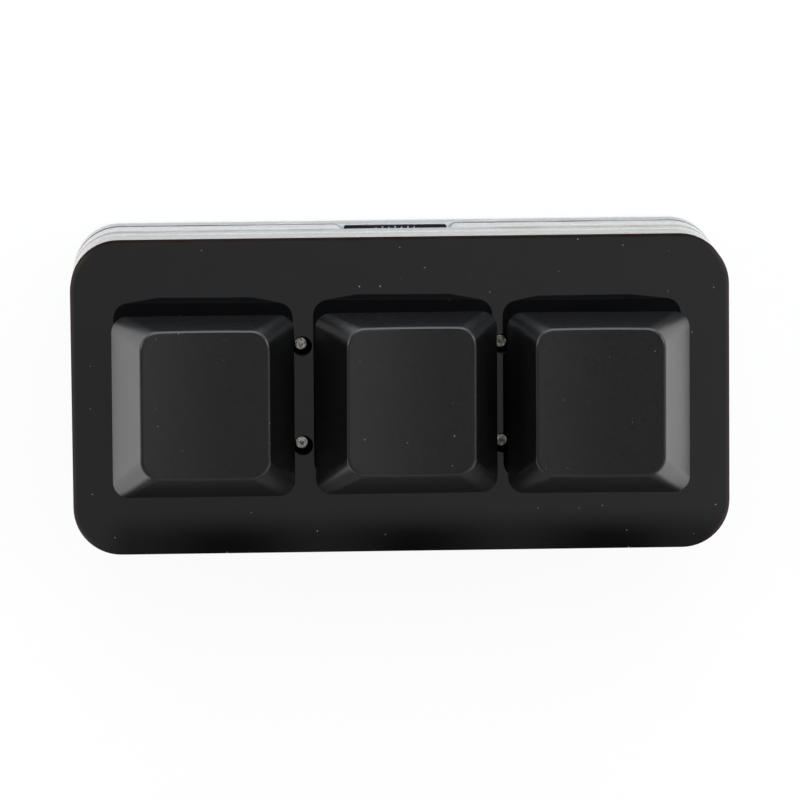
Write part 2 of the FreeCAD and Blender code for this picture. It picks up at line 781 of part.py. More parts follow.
def make_switch_spring(side, x):
    """Makes the coil spring between the lower housing's floor and the stem's cup."""
    wire_radius = sheet.spring_wire
    low = sheet.stem_start - sheet.key_travel - sheet.press_gap + wire_radius
    high = sheet.stem_shoulder - sheet.cup_roof - wire_radius
    steps = 4 * int(sheet.spring_turns)
    climb = (high - low) / steps
    rise = climb / (math.pi / 2)

    def point(step):
        angle = step * math.pi / 2
        return V(sheet.spring_radius * math.cos(angle), sheet.spring_radius * math.sin(angle),
                 low + climb * step)

    def way(step):
        angle = step * math.pi / 2
        return V(-sheet.spring_radius * math.sin(angle), sheet.spring_radius * math.cos(angle),
                 rise).normalize()

    arcs = []
    for step in range(steps):
        arcs += arc_pair(point(step), way(step), point(step + 1), way(step + 1))
    ring = Part.Wire(Part.Circle(point(0), way(0), wire_radius).toShape())
    coil = doc.addObject("Part::Feature", "switch_spring_" + side)
    coil.Label = "switch_spring_" + side
    coil.Shape = Part.Wire(arcs).makePipeShell([ring], True, False)
    place(coil, x, "0", KEY_LEVEL)
    return coil


def make_switch_blades(side, x):
    """Makes a switch's fixed contact and its springy one, each with its pin."""
    blades = []
    for name in ("fixed", "moving"):
        body = new_body(f"{name}_contact_{side}", x=x, z=KEY_LEVEL)
        centre = (f"{name}_blade_x", f"{name}_blade_y")
        block(body, "AdditiveBox", f"{name}_pin_{side}", "pin_width", "blade_thick",
              f"pin_length + {FLOOR_THICK}", *centre, z="0 - base_drop - pin_length")
        inward = "0 - 1" if name == "fixed" else "1"
        shift = f"({centre[0]} + ({inward}) * (blade_width - pin_width) / 2)"
        block(body, "AdditiveBox", f"{name}_blade_{side}", "blade_width", "blade_thick",
              "blade_height", shift, centre[1], z=SWITCH_FLOOR)
        blades.append(body)
    return blades


def make_keycap(side, x):
    """Makes a hollow key cap with a dished top, a cross socket and stiffening ribs."""
    body = new_body("keycap_" + side, x=x, z=f"{KEY_LEVEL} + {CAP_LIFT}")
    shift = "(cap_front_inset - cap_back_inset) / 2"
    depth = "(cap_size - cap_front_inset - cap_back_inset)"
    roof = f"(cap_rim_height + cap_trim - tan(cap_tilt * 1 deg) * {depth} / 2)"
    loft(body, "AdditiveLoft", "cap_block_" + side,
         rounded_rectangle(body, "cap_foot_" + side, "cap_size", "cap_size", "cap_corner"),
         rounded_rectangle(body, "cap_top_" + side, "cap_size - 2 * cap_side_inset",
                           f"{depth} / cos(cap_tilt * 1 deg)", "cap_top_corner", y=shift, z=roof,
                           tilt="cap_tilt"))

    share = f"(cap_cavity / {roof})"
    inner_x = f"(cap_size - 2 * cap_wall - 2 * cap_side_inset * {share})"
    inner_y = f"(cap_size - 2 * cap_wall - (cap_front_inset + cap_back_inset) * {share})"
    loft(body, "SubtractiveLoft", "cap_room_" + side,
         rectangle(body, "room_low_" + side, "cap_size - 2 * cap_wall", "cap_size - 2 * cap_wall"),
         rectangle(body, "room_high_" + side, inner_x, inner_y, y=f"{shift} * {share}",
                   z="cap_cavity"))

    dish = solid(body, "SubtractiveCylinder", "dish_" + side, Radius="dish_radius",
                 Height="2 * cap_size")
    lift = "sqrt(dish_radius ^ 2 - dish_half_width ^ 2)"
    back = "(cap_size / 2 - cap_back_inset)"
    dish.Placement.Rotation = FreeCAD.Rotation(V(1, 0, 0), 90)
    bind(
        dish,
        Placement__Rotation__Angle="90 + cap_tilt",
        Placement__Base__y=f"{back} + cap_size / 2 - {lift} * sin(cap_tilt * 1 deg)",
        Placement__Base__z=f"cap_rim_height + {lift} * cos(cap_tilt * 1 deg)"
                           f" + tan(cap_tilt * 1 deg) * cap_size / 2",
    )

    post_foot = f"(stem_shoulder + post_gap - {CAP_LIFT})"
    solid(body, "AdditiveCylinder", "post_" + side, z=post_foot, Radius="post_radius",
          Height=f"cap_cavity + cap_wall / 4 - {post_foot}")
    rib_level = "cap_cavity - rib_height"
    block(body, "AdditiveBox", "rib_x_" + side, f"{inner_x} + cap_wall / 2", "rib_thick",
          "rib_height + cap_wall / 4", z=rib_level)
    block(body, "AdditiveBox", "rib_y_" + side, "rib_thick", f"{inner_y} + cap_wall / 2",
          "rib_height + cap_wall / 4", y=f"{shift} * {share}", z=rib_level)
    socket_height = "(cross_height + socket_clearance - post_gap)"
    span = "cross_span + 2 * socket_clearance"
    block(body, "SubtractiveBox", "socket_x_" + side, span,
          "cross_thick + 2 * socket_clearance", socket_height, z=post_foot)
    block(body, "SubtractiveBox", "socket_y_" + side, "cross_thin + 2 * socket_clearance", span,
          socket_height, z=post_foot)
    return body


nodes = [make_top_plate(), make_upper_frame(), make_middle_frame(), make_bottom_plate()]
nodes += [make_screws(), make_feet()]
nodes.append(make_spacers("upper_spacers", CONTROLLER_TOP, SWITCH_BOARD_FOOT))
nodes.append(make_spacers("lower_spacers", MIDDLE_LEVEL, CONTROLLER_FOOT))
nodes += [make_switch_board(), make_controller_board()]
nodes += make_link()
nodes += make_port()
nodes += make_soldered_parts()
for side, x in KEYS.items():
    nodes.append(make_switch_base(side, x))
    nodes.append(make_switch_cover(side, x))
    nodes.append(make_switch_stem(side, x))
    nodes.append(make_switch_spring(side, x))
    nodes += make_switch_blades(side, x)
    nodes.append(make_keycap(side, x))
doc.recompute()

for item in doc.Objects:
    if "Invalid" in item.State or "Error" in item.State:
        raise RuntimeError(f"{item.Name} failed: {item.State}")
for node in nodes:
    if node.Shape.isNull() or not node.Shape.isValid():
        raise RuntimeError(f"{node.Label} has no sound shape")
for node in nodes:
    node.Shape.exportStep(f"parts/{node.Label}.step")
    print(node.Label, len(node.Shape.Solids), "solids", round(node.Shape.Volume, 2), "mm3")
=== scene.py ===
"""Looks of a three-key mini keypad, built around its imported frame.

Pieces are modelled in millimetres on the frame's own axes, and each is brought to metres when it
is finished. +X runs along the row of keys, +Y points to the side with the socket, +Z is up.
"""

import logging
import math
from contextlib import contextmanager
from dataclasses import dataclass
from enum import Enum
from typing import Callable, Iterator, Sequence

import bmesh
import bpy
from mathutils import Euler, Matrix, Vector


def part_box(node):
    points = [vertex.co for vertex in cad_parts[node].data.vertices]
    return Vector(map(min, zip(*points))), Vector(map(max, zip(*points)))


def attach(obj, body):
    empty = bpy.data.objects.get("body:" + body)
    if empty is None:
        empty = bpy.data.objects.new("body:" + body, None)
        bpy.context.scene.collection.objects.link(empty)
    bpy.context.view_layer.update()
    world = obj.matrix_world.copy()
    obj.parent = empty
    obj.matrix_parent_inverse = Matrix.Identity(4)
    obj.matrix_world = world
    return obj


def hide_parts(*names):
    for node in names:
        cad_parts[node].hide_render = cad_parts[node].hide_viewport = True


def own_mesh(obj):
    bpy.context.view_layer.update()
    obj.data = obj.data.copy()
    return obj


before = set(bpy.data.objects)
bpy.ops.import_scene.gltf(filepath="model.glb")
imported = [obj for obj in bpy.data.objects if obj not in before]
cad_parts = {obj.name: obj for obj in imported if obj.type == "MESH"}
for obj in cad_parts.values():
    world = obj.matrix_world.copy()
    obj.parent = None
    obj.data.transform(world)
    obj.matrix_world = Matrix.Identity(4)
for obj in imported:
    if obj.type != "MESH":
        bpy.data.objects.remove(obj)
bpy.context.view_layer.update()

logging.basicConfig(level=logging.INFO, format="%(message)s")
log = logging.getLogger("mini_keypad")

MM = 0.001
CASE = "case"
OUTLINE_HALF = (32.9, 15.7)
OUTLINE_CORNER = 4.8

# How far a cutting shape reaches past what it cuts, how close to a level counts as on it,
# and how close two points have to be to become one
OVERCUT = 1.0
NEAR = 0.01
WELD = 0.0005

# The least share of an axis in a normal that faces along it, and in an edge that runs along it
FACING = 0.9
ALONG = 0.99

# The least angles in degrees between the faces at a corner, and at a sharp edge
CORNER = 30
SHARP = 50

Place = tuple[float, float]
Triple = tuple[float, float, float]
Colour = tuple[float, float, float]
Piece = bpy.types.Object
NodeEnd = bpy.types.NodeSocket
FaceTest = Callable[[Vector, Vector], bool]
EdgeTest = Callable[[Vector, Vector, float], bool]


class Side(Enum):
    """The three keys, from left to right."""

    LEFT = "left"
    MIDDLE = "middle"
    RIGHT = "right"

    @property
    def body(self) -> str:
        """Names the body that moves with this key."""
        return f"key_{self.value}"

    @property
    def joint(self) -> str:
        """Names the joint that this key moves on."""
        return f"key_{self.value}_press"

    @property
    def x(self) -> float:
        """Gives the middle of this key along X in millimetres."""
        low, high = corners(self.node("keycap"))
        return (low.x + high.x) / 2

    def node(self, kind: str) -> str:
        """Names this key's piece of a kind."""
        return f"{kind}_{self.value}"


class Step(Enum):
    """The ways in which one shape changes another."""

    CUT = "DIFFERENCE"
    JOIN = "UNION"


# Modelling steps


def corners(node: str) -> tuple[Vector, Vector]:
    """Gives where a CAD node lies.

    Args:
        node: The node's name.

    Returns:
        Its lowest and highest corners in millimetres.
    """
    low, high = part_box(node)
    return low / MM, high / MM


def pick(*pieces: Piece) -> None:
    """Selects these pieces and nothing else, and makes the first one active."""
    bpy.ops.object.select_all(action="DESELECT")
    for piece in pieces:
        piece.select_set(True)
    bpy.context.view_layer.objects.active = pieces[0]


def settle(piece: Piece) -> None:
    """Moves a piece's place, turn and scale into its mesh."""
    pick(piece)
    bpy.ops.object.transform_apply(location=True, rotation=True, scale=True)


def add_box(name: str, low: Sequence[float], high: Sequence[float]) -> Piece:
    """Adds a box between two corners.

    Args:
        name: The piece's name.
        low: Its lowest corner.
        high: Its highest corner.

    Returns:
        The new piece.
    """
    low, high = Vector(low), Vector(high)
    bpy.ops.object.select_all(action="DESELECT")
    bpy.ops.mesh.primitive_cube_add(size=1, location=(low + high) / 2, scale=high - low)
    piece = bpy.context.active_object
    piece.name = name
    settle(piece)
    return piece


def add_rod(
    name: str, radius: float, foot: Sequence[float], length: float, sides: int = 32,
    turn: Sequence[float] = (0.0, 0.0, 0.0), tip: float | None = None,
) -> Piece:
    """Adds an upright rod or cone.

    Args:
        name: The piece's name.
        radius: The radius at the foot.
        foot: The middle of the lower end.
        length: The length.
        sides: How many sides stand for the round.
        turn: Euler angles about the rod's middle.
        tip: The radius at the far end, where it differs.

    Returns:
        The new piece.
    """
    middle = Vector(foot) + Vector((0, 0, length / 2))
    bpy.ops.object.select_all(action="DESELECT")
    bpy.ops.mesh.primitive_cone_add(
        vertices=sides, radius1=radius, radius2=radius if tip is None else tip, depth=length,
        location=middle, rotation=turn,
    )
    piece = bpy.context.active_object
    piece.name = name
    settle(piece)
    return piece


@contextmanager
def editing(piece: Piece, kind: str = "FACE") -> Iterator[None]:
    """Opens a piece in edit mode with nothing selected.

    Args:
        piece: The piece to edit.
        kind: What is selected there, VERT, EDGE or FACE.

    Returns:
        A context that closes edit mode at its end.
    """
    pick(piece)
    bpy.ops.object.mode_set(mode="EDIT")
    bpy.ops.mesh.select_mode(type=kind)
    bpy.ops.mesh.select_all(action="DESELECT")
    yield
    bpy.ops.object.mode_set(mode="OBJECT")


def choose_faces(test: FaceTest) -> int:
    """Selects faces of the piece in edit mode.

    Args:
        test: Says from a face's centre and normal whether it is wanted.

    Returns:
        How many faces were found.
    """
    mesh = bpy.context.edit_object.data
    shape = bmesh.from_edit_mesh(mesh)
    for item in shape.faces:
        item.select_set(False)
    wanted = [item for item in shape.faces if test(item.calc_center_median(), item.normal)]
    for item in wanted:
        item.select_set(True)
    shape.select_flush_mode()
    bmesh.update_edit_mesh(mesh)
    return len(wanted)


def choose_edges(test: EdgeTest) -> int:
    """Selects edges of the piece in edit mode.

    Args:
        test: Says from an edge's middle, its direction and the angle between its faces in
            degrees whether it is wanted.

    Returns:
        How many edges were found.
    """
    mesh = bpy.context.edit_object.data
    shape = bmesh.from_edit_mesh(mesh)
    for item in shape.edges:
        item.select_set(False)
    found = 0
    for item in shape.edges:
        first, last = (vertex.co for vertex in item.verts)
        fold = math.degrees(item.calc_face_angle(0.0))
        if test((first + last) / 2, (last - first).normalized(), fold):
            item.select_set(True)
            found += 1
    bmesh.update_edit_mesh(mesh)
    return found


def upright(middle: Vector, way: Vector, fold: float) -> bool:
    """Says whether an edge is vertical and a true corner."""
    return abs(way.z) > ALONG and fold > CORNER


def looks_up(centre: Vector, normal: Vector) -> bool:
    """Says whether a face looks up."""
    return normal.z > FACING


def looks_down(centre: Vector, normal: Vector) -> bool:
    """Says whether a face looks down."""
    return normal.z < -FACING


def around_foot(level: float) -> EdgeTest:
    """Gives a test that picks the sharp edges at a piece's lowest level."""
    return lambda middle, way, fold: fold > SHARP and middle.z < level + NEAR


def extrude(way: Sequence[float]) -> None:
    """Extrudes the selected faces along a vector."""
    bpy.ops.mesh.extrude_region_move(TRANSFORM_OT_translate={"value": tuple(way)})


def resize(factors: Sequence[float], centre: Sequence[float]) -> None:
    """Scales what is selected about a point."""
    bpy.ops.transform.resize(value=tuple(factors), center_override=tuple(centre))


def shift(way: Sequence[float]) -> None:
    """Moves what is selected along a vector."""
    bpy.ops.transform.translate(value=tuple(way))


def inset(width: float, depth: float = 0.0) -> None:
    """Insets the selected faces by a width and moves them by a depth."""
    bpy.ops.mesh.inset(thickness=width, depth=depth, use_even_offset=True)


def round_chosen(width: float, segments: int = 3, profile: float = 0.5) -> None:
    """Bevels the selected edges; a profile above 0.5 is squarer than round."""
    bpy.ops.mesh.bevel(
        offset=width, segments=segments, affect="EDGES", offset_type="OFFSET",
        profile=profile, clamp_overlap=False,
    )


def round_edges(
    piece: Piece, width: float, test: EdgeTest, segments: int = 3, profile: float = 0.5,
) -> None:
    """Rounds the edges of a piece that a test picks.

    Args:
        piece: The piece.
        width: How far the rounding reaches from the edge.
        test: Picks the edges, as for choose_edges.
        segments: How many strips stand for the rounding.
        profile: The shape across, 0.5 for a round one and up to 1 for a square one.
    """
    with editing(piece, "EDGE"):
        if choose_edges(test):
            round_chosen(width, segments, profile)


def apply_last(piece: Piece) -> None:
    """Applies the newest modifier of a piece."""
    pick(piece)
    bpy.ops.object.modifier_apply(modifier=piece.modifiers[-1].name)


def soften(piece: Piece, width: float, segments: int = 2, angle: float = SHARP) -> None:
    """Bevels every sharp edge of a piece by a small width, where there is room for it.

    Args:
        piece: The piece.
        width: How far the bevel reaches from each edge.
        segments: How many strips stand for the rounding.
        angle: The least angle in degrees that counts as sharp.
    """
    bevel = piece.modifiers.new("soft_edges", "BEVEL")
    bevel.width = width
    bevel.segments = segments
    bevel.limit_method = "ANGLE"
    bevel.angle_limit = math.radians(angle)
    apply_last(piece)


def merge(piece: Piece, *tools: Piece, step: Step = Step.CUT) -> None:
    """Cuts tools out of a piece or joins them to it, and uses them up.

    Args:
        piece: The piece that changes.
        tools: The shapes to cut or join.
        step: Which of the two is done.
    """
    for tool in tools:
        change = piece.modifiers.new(step.name, "BOOLEAN")
        change.object = tool
        change.operation = step.value
        change.solver = "EXACT"
        apply_last(piece)
        bpy.data.objects.remove(tool)


def gather(piece: Piece, *others: Piece) -> Piece:
    """Puts several pieces into the mesh of the first one and returns it."""
    pick(piece, *others)
    bpy.ops.object.join()
    return piece


def twin(piece: Piece, name: str, way: Sequence[float]) -> Piece:
    """Copies a piece with a mesh of its own.

    Args:
        piece: The piece to copy.
        name: The copy's name.
        way: How far the copy lies from it.

    Returns:
        The copy.
    """
    copy = piece.copy()
    copy.data = piece.data.copy()
    copy.name = name
    copy.location = Vector(way)
    bpy.context.collection.objects.link(copy)
    settle(copy)
    return copy


def copy_to_places(piece: Piece, name: str, places: Sequence[Place]) -> list[Piece]:
    """Copies a piece from the first of some places to the others.

    Args:
        piece: The piece at the first place.
        name: What all of them are called, before a number.
        places: The places along X and Y.

    Returns:
        The piece and its copies.
    """
    piece.name = f"{name}_1"
    x, y = places[0]
    copies = [
        twin(piece, f"{name}_{index}", (place[0] - x, place[1] - y, 0))
        for index, place in enumerate(places[1:], start=2)
    ]
    return [piece, *copies]


def copy_to_keys(piece: Piece, name: str) -> dict[Side, Piece]:
    """Copies a piece of the left key to the other keys.

    Args:
        piece: The left key's piece.
        name: What all of them are called, before the side.

    Returns:
        The piece of each key.
    """
    piece.name = Side.LEFT.node(name)
    pieces = {Side.LEFT: piece}
    for side in (Side.MIDDLE, Side.RIGHT):
        pieces[side] = twin(piece, side.node(name), (side.x - Side.LEFT.x, 0, 0))
    return pieces


def wind_coil(
    name: str, radius: float, wire: float, sides: int, pitch: float, turns: int, steps: int,
    start: Vector,
) -> Piece:
    """Winds a strand about Z into a coil with closed ends.

    Args:
        name: The piece's name.
        radius: The coil's radius, up to the middle of the strand.
        wire: The strand's own radius.
        sides: How many sides the strand has.
        pitch: How far a turn rises.
        turns: How many turns there are.
        steps: How many straight lengths stand for a turn.
        start: The point on the axis where the strand's middle starts.

    Returns:
        The coil.
    """
    bpy.ops.object.select_all(action="DESELECT")
    bpy.ops.mesh.primitive_circle_add(
        vertices=sides, radius=wire, fill_type="NOTHING", rotation=(math.pi / 2, 0, 0),
        location=(radius, 0, 0),
    )
    piece = bpy.context.active_object
    piece.name = name
    settle(piece)
    wind = piece.modifiers.new("wind", "SCREW")
    wind.screw_offset = pitch
    wind.iterations = turns
    wind.steps = wind.render_steps = steps
    apply_last(piece)
    with editing(piece, "EDGE"):
        bpy.ops.mesh.select_non_manifold()
        bpy.ops.mesh.fill_holes(sides=sides)
        bpy.ops.mesh.select_all(action="SELECT")
        shift(start)
    return piece


def finish_piece(
    piece: Piece, material: bpy.types.Material, body: str = CASE,
    replaces: Sequence[str] = (), angle: float = 35,
) -> Piece:
    """Closes a piece's mesh, brings it to metres, dresses it and puts it on its body.

    Args:
        piece: The piece, in millimetres.
        material: Its material.
        body: The body that it rides on.
        replaces: The CAD nodes that it stands for.
        angle: Edges with more than this angle in degrees stay sharp.

    Returns:
        The finished piece.
    """
    with editing(piece, "VERT"):
        bpy.ops.mesh.select_all(action="SELECT")
        bpy.ops.mesh.remove_doubles(threshold=WELD)
        bpy.ops.mesh.normals_make_consistent(inside=False)
    piece.scale = (MM, MM, MM)
    settle(piece)
    bpy.ops.object.shade_smooth_by_angle(angle=math.radians(angle))
    weigh = piece.modifiers.new("even_normals", "WEIGHTED_NORMAL")
    weigh.keep_sharp = True
    weigh.weight = 100
    apply_last(piece)
    piece.data.name = piece.name
    piece.data.materials.clear()
    piece.data.materials.append(material)
    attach(piece, body)
    if replaces:
        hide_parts(*replaces)
    log.info("%s on %s: %d faces", piece.name, body, len(piece.data.polygons))
    return piece


def coat(piece: Piece, material: bpy.types.Material, test: FaceTest) -> None:
    """Gives some faces of a finished piece a second material.

    Args:
        piece: The piece.
        material: The second material.
        test: Picks the faces from their centre in metres and their normal.
    """
    pick(piece)
    bpy.ops.object.material_slot_add()
    piece.material_slots[-1].material = material
    piece.active_material_index = len(piece.material_slots) - 1
    with editing(piece):
        if choose_faces(test):
            bpy.ops.object.material_slot_assign()


def dress_node(node: str, material: bpy.types.Material) -> None:
    """Gives a carried-over CAD node a material.

    Args:
        node: The node's name.
        material: The material for all of it.
    """
    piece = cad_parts[node]
    piece.data.materials.clear()
    piece.data.materials.append(material)
    log.info("%s keeps its CAD shape", node)


# Finishes


class Nodes:
    """A tree of shader nodes, with short ways to add and join them."""

    def __init__(self, tree: bpy.types.NodeTree) -> None:
        """Takes up a tree of nodes."""
        self.tree = tree

    def add(self, kind: str, **values: object) -> bpy.types.Node:
        """Adds a node.

        Args:
            kind: The node's type.
            values: Properties of the node.

        Returns:
            The node.
        """
        node = self.tree.nodes.new(kind)
        for name, value in values.items():
            setattr(node, name, value)
        return node

    def join(self, source: NodeEnd, target: NodeEnd) -> None:
        """Links one socket to another."""
        self.tree.links.new(source, target)

    def remap(
        self, value: NodeEnd, low: float, high: float, to_low: float = 0.0,
        to_high: float = 1.0, smooth: bool = False,
    ) -> NodeEnd:
        """Carries a value from one range to another and clamps it.

        Args:
            value: The value.
            low: Where the first range starts.
            high: Where it ends.
            to_low: Where the second range starts.
            to_high: Where it ends.
            smooth: Whether the ends are eased.

        Returns:
            The value in the second range.
        """
        kind = "SMOOTHSTEP" if smooth else "LINEAR"
        node = self.add("ShaderNodeMapRange", interpolation_type=kind)
        node.inputs["From Min"].default_value = low
        node.inputs["From Max"].default_value = high
        node.inputs["To Min"].default_value = to_low
        node.inputs["To Max"].default_value = to_high
        self.join(value, node.inputs["Value"])
        return node.outputs["Result"]

    def maths(
        self, operation: str, first: NodeEnd, second: NodeEnd | float,
    ) -> NodeEnd:
        """Combines two values.

        Args:
            operation: The sum that is done.
            first: The first value.
            second: The second value, a socket or a number.

        Returns:
            The result.
        """
        node = self.add("ShaderNodeMath", operation=operation)
        self.join(first, node.inputs[0])
        if isinstance(second, NodeEnd):
            self.join(second, node.inputs[1])
        else:
            node.inputs[1].default_value = second
        return node.outputs[0]

    def blend(
        self, share: NodeEnd, first: NodeEnd | Colour,
        second: NodeEnd | Colour,
    ) -> NodeEnd:
        """Mixes two colours.

        Args:
            share: How much of the second colour there is.
            first: The first colour.
            second: The second colour.

        Returns:
            The mixed colour.
        """
        node = self.add("ShaderNodeMix", data_type="RGBA")
        self.join(share, node.inputs[0])
        for index, colour in ((6, first), (7, second)):
            if isinstance(colour, NodeEnd):
                self.join(colour, node.inputs[index])
            else:
                node.inputs[index].default_value = (*colour, 1.0)
        return node.outputs[2]

    def split(self, vector: NodeEnd) -> bpy.types.NodeOutputs:
        """Gives a vector's outputs X, Y and Z."""
        node = self.add("ShaderNodeSeparateXYZ")
        self.join(vector, node.inputs[0])
        return node.outputs

    def past_outline(
        self, point: NodeEnd, half: Sequence[float], corner: float,
    ) -> NodeEnd:
        """Measures how far a point lies outside a rectangle with round corners.

        Args:
            point: The point.
            half: Half of the rectangle's size along X and Y.
            corner: The radius of its corners.

        Returns:
            The distance, below 0 inside the rectangle.
        """
        axes = self.split(point)
        past = self.add("ShaderNodeCombineXYZ")
        for index, (axis, reach) in enumerate(zip("XY", half)):
            size = self.maths("ABSOLUTE", axes[axis], 0.0)
            beyond = self.maths("SUBTRACT", size, reach - corner)
            self.join(self.maths("MAXIMUM", beyond, 0.0), past.inputs[index])
        length = self.add("ShaderNodeVectorMath", operation="LENGTH")
        self.join(past.outputs[0], length.inputs[0])
        return self.maths("SUBTRACT", length.outputs["Value"], corner)


class Wiring(Nodes):
    """The nodes of one material."""

    def __init__(self, name: str) -> None:
        """Starts a material with a shader and Object coordinates in millimetres.

        Args:
            name: The material's name.
        """
        self.material = bpy.data.materials.new(name)
        self.material.use_nodes = True
        super().__init__(self.material.node_tree)
        self.shader = self.tree.nodes["Principled BSDF"]
        place = self.tree.nodes.new("ShaderNodeTexCoord")
        scale = self.add("ShaderNodeMapping")
        scale.inputs["Scale"].default_value = (1 / MM, 1 / MM, 1 / MM)
        self.join(place.outputs["Object"], scale.inputs["Vector"])
        self.point = scale.outputs["Vector"]

    def stretched(self, factors: Colour) -> NodeEnd:
        """Gives the coordinates scaled by a factor along each axis."""
        node = self.add("ShaderNodeMapping")
        node.inputs["Scale"].default_value = factors
        self.join(self.point, node.inputs["Vector"])
        return node.outputs["Vector"]

    def noise(
        self, scale: float, detail: float = 2.0, rough: float = 0.5,
        at: NodeEnd | None = None,
    ) -> NodeEnd:
        """Adds a noise pattern.

        Args:
            scale: How many waves there are to a millimetre.
            detail: How many finer layers it has.
            rough: How strong the finer layers are.
            at: The coordinates, if not the plain ones.

        Returns:
            Its value, about 0.5.
        """
        node = self.add("ShaderNodeTexNoise")
        node.inputs["Scale"].default_value = scale
        node.inputs["Detail"].default_value = detail
        node.inputs["Roughness"].default_value = rough
        self.join(at or self.point, node.inputs["Vector"])
        return node.outputs["Fac"]

    def specks(self, per_mm: float, size: float, share: float) -> NodeEnd:
        """Scatters small round specks.

        Args:
            per_mm: How many places for a speck there are to a millimetre.
            size: The radius of a speck in millimetres.
            share: How many of the places hold one.

        Returns:
            1 on a speck and 0 elsewhere, only on faces that lie flat.
        """
        node = self.add("ShaderNodeTexVoronoi", voronoi_dimensions="2D")
        node.inputs["Scale"].default_value = per_mm
        self.join(self.point, node.inputs["Vector"])
        split = self.add("ShaderNodeSeparateColor")
        self.join(node.outputs["Color"], split.inputs["Color"])
        flat = self.remap(self.facing_up(), 0.5, 0.8)
        kept = self.maths("MULTIPLY", flat, self.maths("LESS_THAN", split.outputs["Red"], share))
        reach = self.maths("MULTIPLY", split.outputs["Green"], size * per_mm)
        near = self.maths("LESS_THAN", node.outputs["Distance"], reach)
        return self.maths("MULTIPLY", kept, near)

    def bump(
        self, height: NodeEnd, depth: float,
        after: NodeEnd | None = None,
    ) -> NodeEnd:
        """Turns a height into a bumpy normal.

        Args:
            height: The height, from 0 to 1.
            depth: The depth of the bumps in millimetres.
            after: A normal that the bumps are added to.

        Returns:
            The normal.
        """
        node = self.add("ShaderNodeBump")
        node.inputs["Strength"].default_value = 1.0
        node.inputs["Distance"].default_value = depth * MM
        self.join(height, node.inputs["Height"])
        if after is not None:
            self.join(after, node.inputs["Normal"])
        return node.outputs["Normal"]

    def facing_up(self) -> NodeEnd:
        """Gives how far the surface faces up or down: 1 on flat faces and 0 on upright ones."""
        place = self.add("ShaderNodeTexCoord")
        return self.maths("ABSOLUTE", self.split(place.outputs["Normal"])["Z"], 0.0)

    def set(self, **values: object) -> None:
        """Sets or links the shader's inputs; an underscore in a name stands for a space."""
        for name, value in values.items():
            socket = self.shader.inputs[name.replace("_", " ")]
            if isinstance(value, NodeEnd):
                self.join(value, socket)
            elif isinstance(value, tuple):
                socket.default_value = (*value, 1.0)
            else:
                socket.default_value = value


@dataclass(frozen=True)
class Finish:
    """A plain moulded or metal finish: its colour, unevenness, grain and dust, and an optional band
    of painted light along the keypad's outline at its two ends.

    Sizes are in millimetres, and waves are counted to a millimetre.
    """

    name: str
    colour: Colour
    shade: Colour
    roughness: float
    roughness_spread: float = 0.06
    metallic: float = 0.0
    ior: float = 1.49
    patches: float = 0.3
    grain: float = 8.0
    grain_depth: float = 0.002
    streaks: Colour = (1.0, 1.0, 1.0)
    dust_share: float = 0.0
    dust_size: float = 0.07
    dust_places: float = 0.45
    dust: Colour = (0.2, 0.2, 0.19)
    # rim: the colour of painted light, a warm lighter band along the outline at the keypad's two
    # ends
    rim: Colour | None = None
    rim_light_width: float = 0.6
    rim_light_ends: tuple[float, float] = (30.0, 32.0)
    patch_ends: tuple[float, float] = (0.35, 0.65)
    grain_ends: tuple[float, float] = (0.3, 0.7)
    dust_roughness: float = 0.7

    def material(self) -> bpy.types.Material:
        """Builds the material."""
        wiring = Wiring(self.name)
        self.lay(wiring)
        return wiring.material

    def lay(self, wiring: Wiring) -> None:
        """Lays out the finish.

        Args:
            wiring: The material's nodes.
        """
        patch = wiring.remap(wiring.noise(self.patches, 4.0), *self.patch_ends)
        tone = wiring.blend(patch, self.colour, self.shade)
        along = wiring.stretched(self.streaks)
        grain = wiring.noise(self.grain, 3.0, 0.6, along)
        rough = wiring.remap(
            grain, *self.grain_ends, self.roughness - self.roughness_spread,
            self.roughness + self.roughness_spread,
        )
        if self.dust_share:
            specks = wiring.specks(self.dust_places, self.dust_size, self.dust_share)
            tone = wiring.blend(specks, tone, self.dust)
            dusty = wiring.maths("MULTIPLY", specks, self.dust_roughness)
            rough = wiring.maths("MAXIMUM", rough, dusty)
        # Painted light: lightens a band along the outline near the two ends towards the rim colour
        if self.rim:
            past = wiring.past_outline(wiring.point, OUTLINE_HALF, OUTLINE_CORNER)
            out = wiring.maths("ABSOLUTE", wiring.split(wiring.point)["X"], 0.0)
            at_end = wiring.remap(out, *self.rim_light_ends, smooth=True)
            near = wiring.remap(past, -self.rim_light_width, 0.0, smooth=True)
            tone = wiring.blend(wiring.maths("MULTIPLY", near, at_end), tone, self.rim)
        wiring.set(
            Base_Color=tone, Roughness=rough, Metallic=self.metallic, IOR=self.ior,
            Normal=wiring.bump(grain, self.grain_depth),
        )


@dataclass(frozen=True)
class CutLine:
    """A matt line along a sheet's cut edge: its height, half of its width, tone and strength."""

    level: float
    reach: float
    tone: Colour
    strength: float = 1.0


